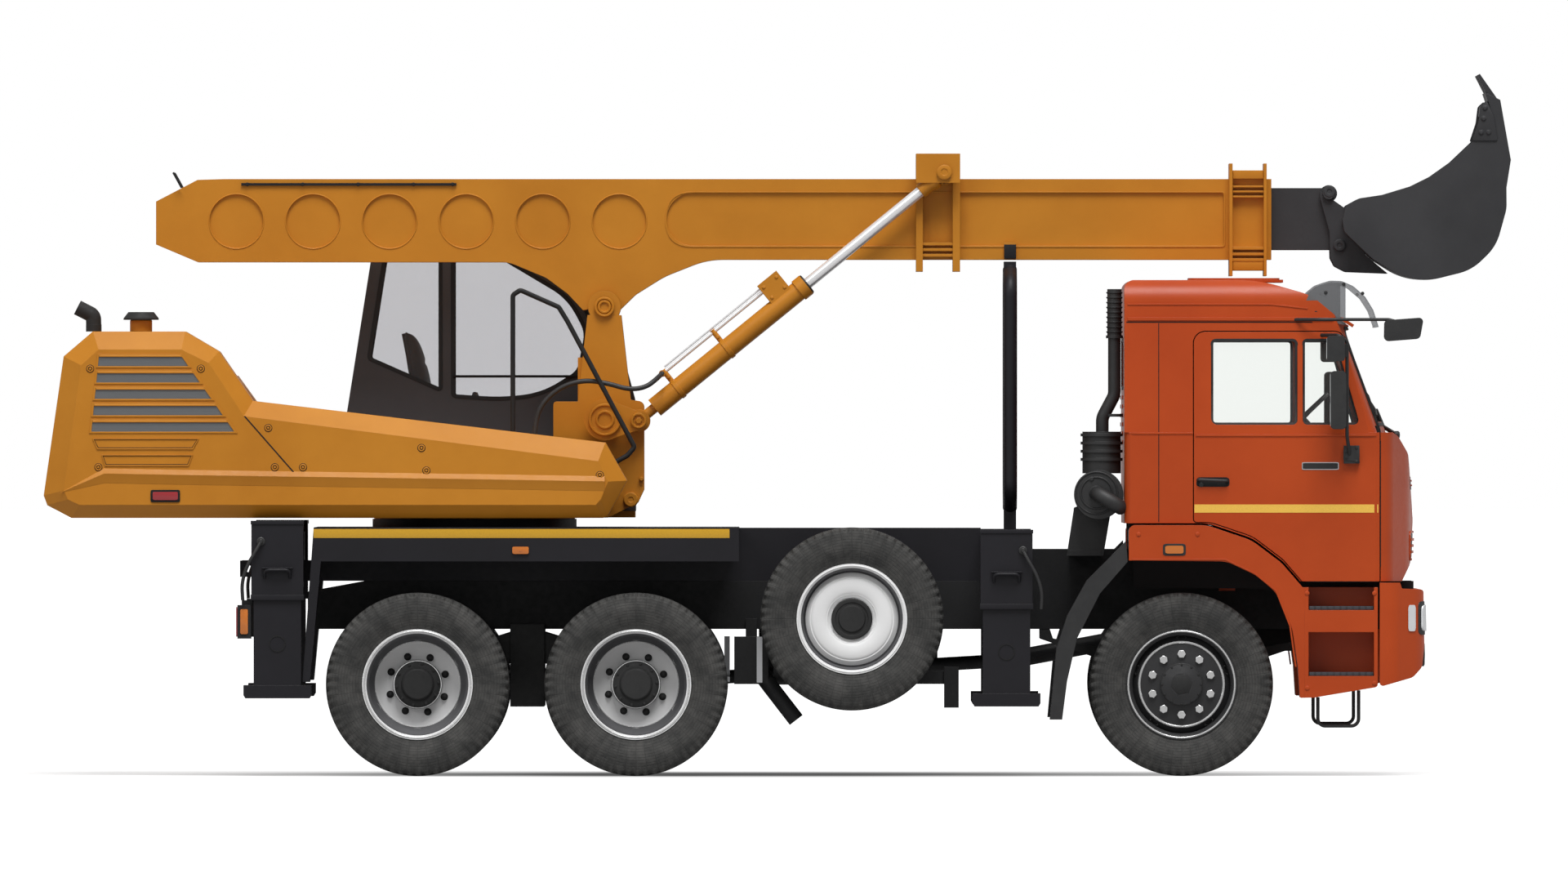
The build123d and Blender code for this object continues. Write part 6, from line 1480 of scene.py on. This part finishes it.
for hand, side in HANDS:
    place = beside("cab_shell", side)
    dark = bmesh.new()
    ribbon(dark, "cab_shell", place, [(12, 1584), (1150, 1584)], 6, -1, 1.2)
    ribbon(dark, "cab_shell", place, [(210, 362), (210, 1578)], 5, -1, 1.2)
    ribbon(dark, "cab_shell", place, [(1566, 60), (1566, 860)], 5, -1, 1.2)
    piece(f"cab_seams_{hand}", dark, BLACK_GAP_AND_SHADE, "chassis")
    fold = bmesh.new()
    ribbon(fold, "cab_shell", place, [(20, 1604), (1330, 1604), (1400, 1560)], 20, -1, 7)
    ribbon(fold, "cab_shell", place, [(20, 1693), (900, 1693), (1120, 1668)], 9, -1, 4)
    ribbon(fold, "cab_shell", place, [(26, 905), (420, 905)], 12, -1, 4)
    piece(f"cab_folds_{hand}", fold, CAB_ORANGE, "chassis")
    # rubber in the door's rebate, behind the shut line
    rebate = [
        (425, 1525), (1325, 1525), (1393, 1360), (1560, 905), (1560, 10), (1109, 10), (970, 136), (785, 276),
        (530, 362), (425, 362),
    ]
    rubber = bmesh.new()
    rebate = softened(rebate, [70, 60, 300, 60, 20, 20, 200, 260, 200, 20])
    plate(rubber, grown(rebate, 16), -141, -135, place, bevel=0, hole=grown(rebate, -10))
    piece(f"cab_door_rebate_{hand}", rubber, SEAL_RUBBER, "chassis")

    door = f"cab_door_{hand}"
    place = at(beside(door, side), -DOOR_REAR_U, 0)
    rubber = bmesh.new()
    quarter = softened([(1090, 957), (1090, 1480), (1290, 1480), (1440, 957)], 30)
    main_pane = softened([(530, 957), (530, 1480), (1058, 1480), (1058, 957)], 34)
    for ring in (main_pane, quarter):
        seal(rubber, ring, -52, -40, place, out=3, inward=14)
    piece(f"cab_door_seal_{hand}", rubber, SEAL_RUBBER, door)
    fold = bmesh.new()
    ribbon(fold, door, place, [(436, 893), (1540, 893)], 14, -1, 5)
    piece(f"cab_door_fold_{hand}", fold, CAB_ORANGE, door)
    stripe = bmesh.new()
    ribbon(stripe, door, place, [(428, 445), (1552, 445)], 50, -1, 1.2)
    piece(f"cab_door_stripe_{hand}", stripe, DOOR_TAPE, door)
    # the pull's well is a black patch on the door skin: painted shade of its recess
    pull = bmesh.new()
    patch(pull, door, place, (440, 642), (578, 636), -2, 2, corner=20)
    piece(f"cab_door_pull_well_painted_shade_{hand}", pull, BLACK_GAP_AND_SHADE, door)
    pull = bmesh.new()
    grip = [(452, 622, 0), (452, 622, 26), (628, 614, 26), (628, 614, 0)]
    spot = at(place, 0, 0, skin(door, place, 540, 610) or 0)
    tube(pull, bent(grip, 16), 9, place=spot)
    lathe(pull, [(14, -1), (14, 5), (10, 7), (5, 6), (0, 6)], at(spot, 470, 590), 20)
    piece(f"cab_door_pull_{hand}", pull, PLASTIC_BLACK, door)
    sign = bmesh.new()
    patch(sign, door, place, (1085, 1310), (682, 728), -1, 3, corner=6)
    piece(f"cab_door_plate_{hand}", sign, ZINC, door)
    sign = bmesh.new()
    patch(sign, door, place, (1090, 1305), (687, 723), 1, 4, corner=5)
    piece(f"cab_door_plate_face_{hand}", sign, PLASTIC_BLACK, door)
    foot = bmesh.new()
    low, high = corners(f"mirror_{hand}")
    foot_place = Matrix(((1, 0, 0, low.x), (0, 0, side, side * DOOR_FACE_Y), (0, 1, 0, low.z), (0, 0, 0, 1)))
    plate(
        foot, softened([(142, 20), (142, 86), (205, 92), (240, 112), (240, -2), (205, 14)], 6), 0, 38,
        foot_place, bevel=4,
    )
    for u, v in ((160, 36), (160, 72), (222, 12), (222, 96)):
        bolt(foot, at(foot_place, u, v, 38), 7)
    piece(f"mirror_foot_{hand}", foot, PLASTIC_BLACK, door)
    glass = bmesh.new()
    back_view = behind(f"mirror_{hand}")
    half = (high.y - low.y) / 2
    inner, outer = sorted((side * (half - 5), side * (half - 160)))
    patch(glass, f"mirror_{hand}", back_view, (inner + 10, outer - 10), (225, 550), -2, 2, corner=18, grid=8)
    patch(glass, f"mirror_{hand}", back_view, (inner + 10, outer - 10), (638, 768), -2, 2, corner=14, grid=8)
    piece(f"mirror_glass_{hand}", glass, MIRROR, door)

print("cab sides dressed")

# %% Seals of the screen and the rear window
front = ahead_of("cab_shell")
rubber = bmesh.new()
screen = softened([(-1060, 975), (-1000, 1535), (1000, 1535), (1060, 975)], 70, steps=7)
ribbon(rubber, "cab_shell", front, grown(screen, 14) + grown(screen, 14)[:1], 20, -2, 5)
rear_view = behind("cab_shell")
window = softened([(-500, 1195), (-500, 1470), (500, 1470), (500, 1195)], 50)
ribbon(rubber, "cab_shell", rear_view, grown(window, 14) + grown(window, 14)[:1], 20, -2, 5)
piece("cab_seals", rubber, SEAL_RUBBER, "chassis")

print("cab seals made")

# %% Wipers
WIPER_V = 895  # height of the spindles
SCREEN_W = -120  # where the screen lies if a ray finds no glass


def over_screen(place, u, v, gap):
    """How far out a point of a wiper lies, to clear the screen by a gap."""
    return (skin("cab_glass", place, u, v) or SCREEN_W) + gap


wipers = bmesh.new()
for u in (-720, -60, 560):
    pivot = (skin("cab_shell", front, u, WIPER_V) or 0) + 6
    tip = over_screen(front, u + 300, 1080, 26)
    rest = over_screen(front, u + 40, 1010, 26)
    lathe(wipers, [(24, -8), (24, 12), (16, 20), (0, 22)], at(front, u, WIPER_V, pivot), 20)
    arm = [(u, WIPER_V, pivot + 12), (u + 20, 950, rest + 26), (u + 180, 1050, tip + 12)]
    tube(wipers, arm, 8, place=front)
    near, far = over_screen(front, u - 40, 1012, 8), over_screen(front, u + 380, 1090, 8)
    blade = [(u - 40, 1012, near), (u + 170, 1051, (near + far) / 2 + 8), (u + 380, 1090, far)]
    tube(wipers, blade, 8, place=front)
piece("wipers", wipers, PLASTIC_BLACK, "chassis")

print("wipers made")

# %% Grille
grille = bmesh.new()
patch(grille, "cab_shell", front, (-760, 760), (142, 290), -2, 4, corner=30, grid=24)
patch(grille, "cab_shell", front, (-640, 640), (560, 640), -2, 4, corner=20, grid=24)
piece("grille_mesh", grille, WIRE_MESH, "chassis")
slats = bmesh.new()
for v in (178, 216, 254):
    ribbon(slats, "cab_shell", front, [(-750, v), (750, v)], 16, 2, 14)
for v in (586, 614):
    ribbon(slats, "cab_shell", front, [(-630, v), (630, v)], 10, 2, 10)
rim = oblong((-770, 770), (132, 300), 36)
ribbon(slats, "cab_shell", front, [*rim, rim[0]], 14, -1, 9)
piece("grille_slats", slats, CAB_ORANGE, "chassis")

print("grille made")

# %% Lamps and blank plate
lenses = bmesh.new()
bezels = bmesh.new()
turn = bmesh.new()
front = ahead_of("bumper")
for sign in (-1, 1):
    span = sorted((sign * 760, sign * 1075))
    patch(bezels, "bumper", front, (span[0] - 22, span[1] + 22), (312, 516), -2, 5, corner=26)
    patch(lenses, "bumper", front, span, (334, 494), 2, 14, corner=30)
    spot = on_skin("bumper", front, sign * 640, 190)
    lathe(bezels, [(74, -4), (74, 8), (64, 14), (58, 6), (58, -4)], spot, 36)
    lathe(lenses, [(59, 0), (56, 9), (30, 15), (0, 17)], spot, 36)
    corner_view = beside("bumper", sign)
    patch(turn, "bumper", corner_view, (176, 222), (334, 494), -2, 8, corner=12, grid=8)
patch(bezels, "bumper", front, (-520, 520), (300, 470), -2, 5, corner=24, grid=24)
piece("bumper_bezels", bezels, PLASTIC_BLACK, "chassis")
piece("headlamp_lenses", lenses, CLEAR_LENS, "chassis")
piece("corner_lenses", turn, CLEAR_LENS, "chassis")
blank = bmesh.new()
patch(blank, "bumper", front, (-260, 260), (330, 442), 4, 8, corner=8)
piece("front_plate_blank", blank, DISC_WHITE, "chassis")

print("front lamps made")

# %% Rear ribs, roof hatch and visor screws
ribs = bmesh.new()
for v in (850, 905, 960, 1015, 1070, 1125):
    ribbon(ribs, "cab_shell", rear_view, [(-380, v), (1080, v)], 24, -1, 7)
piece("cab_rear_ribs", ribs, CAB_ORANGE, "chassis")

low, high = corners("cab_shell")
overhead = Matrix(((1, 0, 0, low.x), (0, 1, 0, 0), (0, 0, 1, high.z), (0, 0, 0, 1)))
hatch = bmesh.new()
patch(hatch, "cab_shell", overhead, (400, 960), (-330, 330), -1, 10, corner=60)
piece("cab_hatch", hatch, CAB_ORANGE, "chassis")
screws = bmesh.new()
for hand, side in HANDS:
    place = beside("visor", side)
    for u, v in ((60, 90), (120, 210), (230, 262), (345, 205)):
        spot = on_skin("visor", place, u, v)
        lathe(screws, [(11, -1), (11, 3), (8, 5), (0, 5)], spot, 16)
piece("visor_screws", screws, PLASTIC_BLACK, "chassis")
print("truck cab dressed")

# %% [markdown]
# ## Wings, steps and air intake
#
# The step wells have black treads with raised lozenges and the wings a small side lamp. The intake stack
# has its louvred mouth, two clamp bands and a duct to the filter canister, which has pressed rings.

# %% Wings, steps and air intake
for hand, side in HANDS:
    place = beside("wings_and_steps", side)
    treads = bmesh.new()
    bezel = bmesh.new()
    for v in (537, 134):
        plate(treads, oblong((1101, 1494), (v + 1, v + 24)), -205, -8, place, bevel=3)
    piece(f"step_treads_{hand}", treads, TREAD_PLATE, "chassis")
    lamp = bmesh.new()
    patch(bezel, "wings_and_steps", place, (208, 348), (869, 942), -2, 3, corner=16, grid=8)
    patch(lamp, "wings_and_steps", place, (222, 334), (882, 930), 1, 9, corner=12, grid=8)
    piece(f"wing_lamp_bezel_{hand}", bezel, PLASTIC_BLACK, "chassis")
    piece(f"wing_lamp_{hand}", lamp, AMBER_LENS, "chassis")
    lips = bmesh.new()
    ribbon(
        lips, "wings_and_steps", place,
        [(20, 846), (590, 846), (770, 760), (900, 655), (985, 440), (1020, 190)], 10, -1, 4,
    )
    for u, v in ((60, 1000), (420, 1000), (1090, 640), (1500, 640), (1090, 60), (1500, 90)):
        lathe(lips, [(14, -1), (14, 3), (10, 5), (0, 5)], on_skin("wings_and_steps", place, u, v), 16)
    piece(f"wing_lips_{hand}", lips, CAB_ORANGE, "chassis")

for hand, side in HANDS:
    place = beside("wings_and_steps", side)
    # black sheets in each wheel arch, over the wing's bracket: painted shade of the arch
    liner = bmesh.new()
    top = [(4, 1069), (475, 1069), (757, 976), (944, 835), (1066, 694)]
    top = [tuple(point) for point in bent(top, 230)]
    plate(liner, top + [(u, v - 45) for u, v in top[::-1]], -300, -170, place, bevel=0)
    plate(liner, [(30, 668), (30, 838), (598, 838), (783, 750), (880, 668)], -325, -319, place, bevel=0)
    piece(f"arch_liner_painted_shade_{hand}", liner, BLACK_GAP_AND_SHADE, "chassis")

place = beside("air_intake", -1)
intake = bmesh.new()
canister = on_skin("air_intake", place, 180, 385)
for radius in (128, 96, 40):
    bead_ring(intake, canister, radius, 6, 1)
route = [(180, 385, -30), (190, 378, 42), (240, 350, 70), (300, 312, 70), (330, 296, 20)]
tube(intake, bent(route, 70), 46, 20, place=place)
for u, v in ((150, 470), (300, 320)):
    bolt(intake, on_skin("air_intake", place, u, v), 12)
piece("intake_duct", intake, PLASTIC_BLACK, "chassis")
print("intake duct made")

# %% Vanes and clamps of the intake stack


def round_stack(place, v):
    """A frame on the stack's upright axis, for a body turned about it."""
    return at(place, 291, v, -170) @ Matrix.Rotation(math.pi / 2, 4, "X")


vanes = bmesh.new()
for v in range(1368, 1609, 30):
    lathe(vanes, [(44, -4), (50, -6), (51, -2), (46, 5), (44, 5)], round_stack(place, v), 28)
for v in (860, 1340):
    lathe(vanes, [(47, -9), (52, -9), (52, 9), (47, 9)], round_stack(place, v), 32)
piece("intake_vanes", vanes, PLASTIC_BLACK, "chassis")
print("steps and intake dressed")

# %% [markdown]
# ## Under the machine
#
# Bolts pass through each rear spring, and a steel strap lies on the right-hand tank. They could be solids
# of the CAD, but so little of them shows that tubes and a ribbon are enough.

# %% Spring bolts and tank straps
SPRING_INSET = 460  # the rear springs' middle lies this far inside the box of the axles
for hand, side in HANDS:
    place = at(beside("axles_and_springs", side), 0, 0, -SPRING_INSET)
    steel = bmesh.new()
    for u in (1170, 1230):  # about a third of a metre ahead of the saddle
        for shift in (-30, 30):
            tube(steel, [(u - 12, 130, shift), (u - 12, 470, shift)], 9, 10, place=place)
            lathe(
                steel, [(17, 0), (17, 16), (0, 16)],
                at(place, u - 12, 130, shift) @ Matrix.Rotation(-math.pi / 2, 4, "X"), 6,
            )
    piece(f"spring_bolts_{hand}", steel, CAST_BLACK, "chassis")
node = "underbody_tanks_and_shafts"
place = beside(node, -1)
straps = bmesh.new()
for u in (1700, 1900):  # only the second falls on the tank; the first lies inboard, by the shafts
    ribbon(straps, node, place, [(u, 260), (u, 540)], 34, -1, 5)
piece("tank_straps", straps, ZINC, "chassis")
print("underbody dressed")

# %% [markdown]
# ## Inside the truck's cab
#
# Two seats, a moulded dashboard with its cowl, and the steering wheel on its column, seen through the
# panes. The seats could be draped by a cloth simulation; a formula gives their crown and sewn channels,
# though not the creases.

# %% Seats, dashboard and steering wheel
DRIVER_Y = 620
low, high = corners("cab_interior")
for name, y in (("driver_seat", DRIVER_Y), ("passenger_seat", -DRIVER_Y)):
    base = Matrix.Translation((low.x + 372, y, low.z + 1))
    seat(name, "cab_interior", "chassis", base, 450, 10, False)
dash = bmesh.new()
inside = Matrix(((1, 0, 0, low.x), (0, 0, -1, -880), (0, 1, 0, low.z), (0, 0, 0, 1)))
outline = softened(
    [(1140, 60), (1140, 330), (1172, 415), (1258, 503), (1335, 503), (1400, 400), (1430, 60)], 34
)
plate(dash, outline, -1760, 0, inside, bevel=8)
cowl = softened([(1150, 400), (1205, 520), (1300, 530), (1300, 470)], 20)
plate(dash, cowl, -1720, -1280, inside, bevel=8)
item = piece("dashboard", dash, PLASTIC_BLACK, "chassis", smooth=40)
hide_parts("cab_interior")
wheel = bmesh.new()
hub = Vector((low.x + 968, DRIVER_Y, low.z + 575))
column_foot = Vector((low.x + 1158, DRIVER_Y, low.z + 375))
tube(wheel, [column_foot, hub], 22)
axis = (hub - column_foot).normalized()
turn_to = axis.to_track_quat("Z", "Y").to_matrix().to_4x4()
ring_place = Matrix.Translation(hub) @ turn_to
bead_ring(wheel, ring_place, 211, 14, 10)
lathe(wheel, [(0, -8), (52, -6), (56, 8), (48, 20), (0, 26)], ring_place, 28)
for spoke in (0.1, math.pi - 0.1, -math.pi / 2):
    tube(
        wheel, [(30, 0, 8), (120, 0, 4), (208, 0, 10)], 9, place=ring_place @ Matrix.Rotation(spoke, 4, "Z")
    )
item = piece("steering_wheel", wheel, PLASTIC_BLACK, "chassis")
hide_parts("cab_interior")
print("cab interior made")

# %% [markdown]
# ## Hydraulic hose
#
# One free hose feeds the lift cylinders: out of the hood, over the lugs and into the elbow of the
# right-hand oil pipe. Its line is a NURBS spline through the same points as the plain CAD tube, and the
# tube is swept along it.

# %% Hydraulic hose
HOSE_POINTS = [
    (-1.492, -0.560, 2.0916),
    (-1.487, -0.562, 2.190),
    (-1.430, -0.568, 2.302),
    (-1.318, -0.578, 2.388),
    (-1.180, -0.588, 2.422),
    (-1.040, -0.592, 2.400),
    (-0.915, -0.592, 2.362),
    (-0.812, -0.577, 2.376),
    (-0.742, -0.524, 2.430),
    (-0.712, -0.4394, 2.462),
]
line_data = bpy.data.curves.new("hose_line", "CURVE")
line_data.dimensions = "3D"
line_data.resolution_u = 12
spline = line_data.splines.new("NURBS")
spline.points.add(len(HOSE_POINTS) - 1)
for control, point in zip(spline.points, HOSE_POINTS):
    control.co = (*point, 1.0)
spline.order_u = 3
spline.use_endpoint_u = True
line_holder = bpy.data.objects.new("hose_line", line_data)
line_mesh = bpy.data.meshes.new_from_object(line_holder)
path = [vertex.co.copy() for vertex in line_mesh.vertices]
shape = bmesh.new()
tube(shape, [point / MM for point in path], 15, 16)
hose = piece("lift_hose", shape, HOSE_RUBBER, None)
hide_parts("lift_hoses")
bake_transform(hose)
bpy.data.objects.remove(line_holder)

# %% [markdown]
# ## Size
#
# The box of the CAD frame is printed in metres.

# %% Size of the CAD frame
print("cad", [round(v, 3) for v in (*cad_low, *cad_high)])
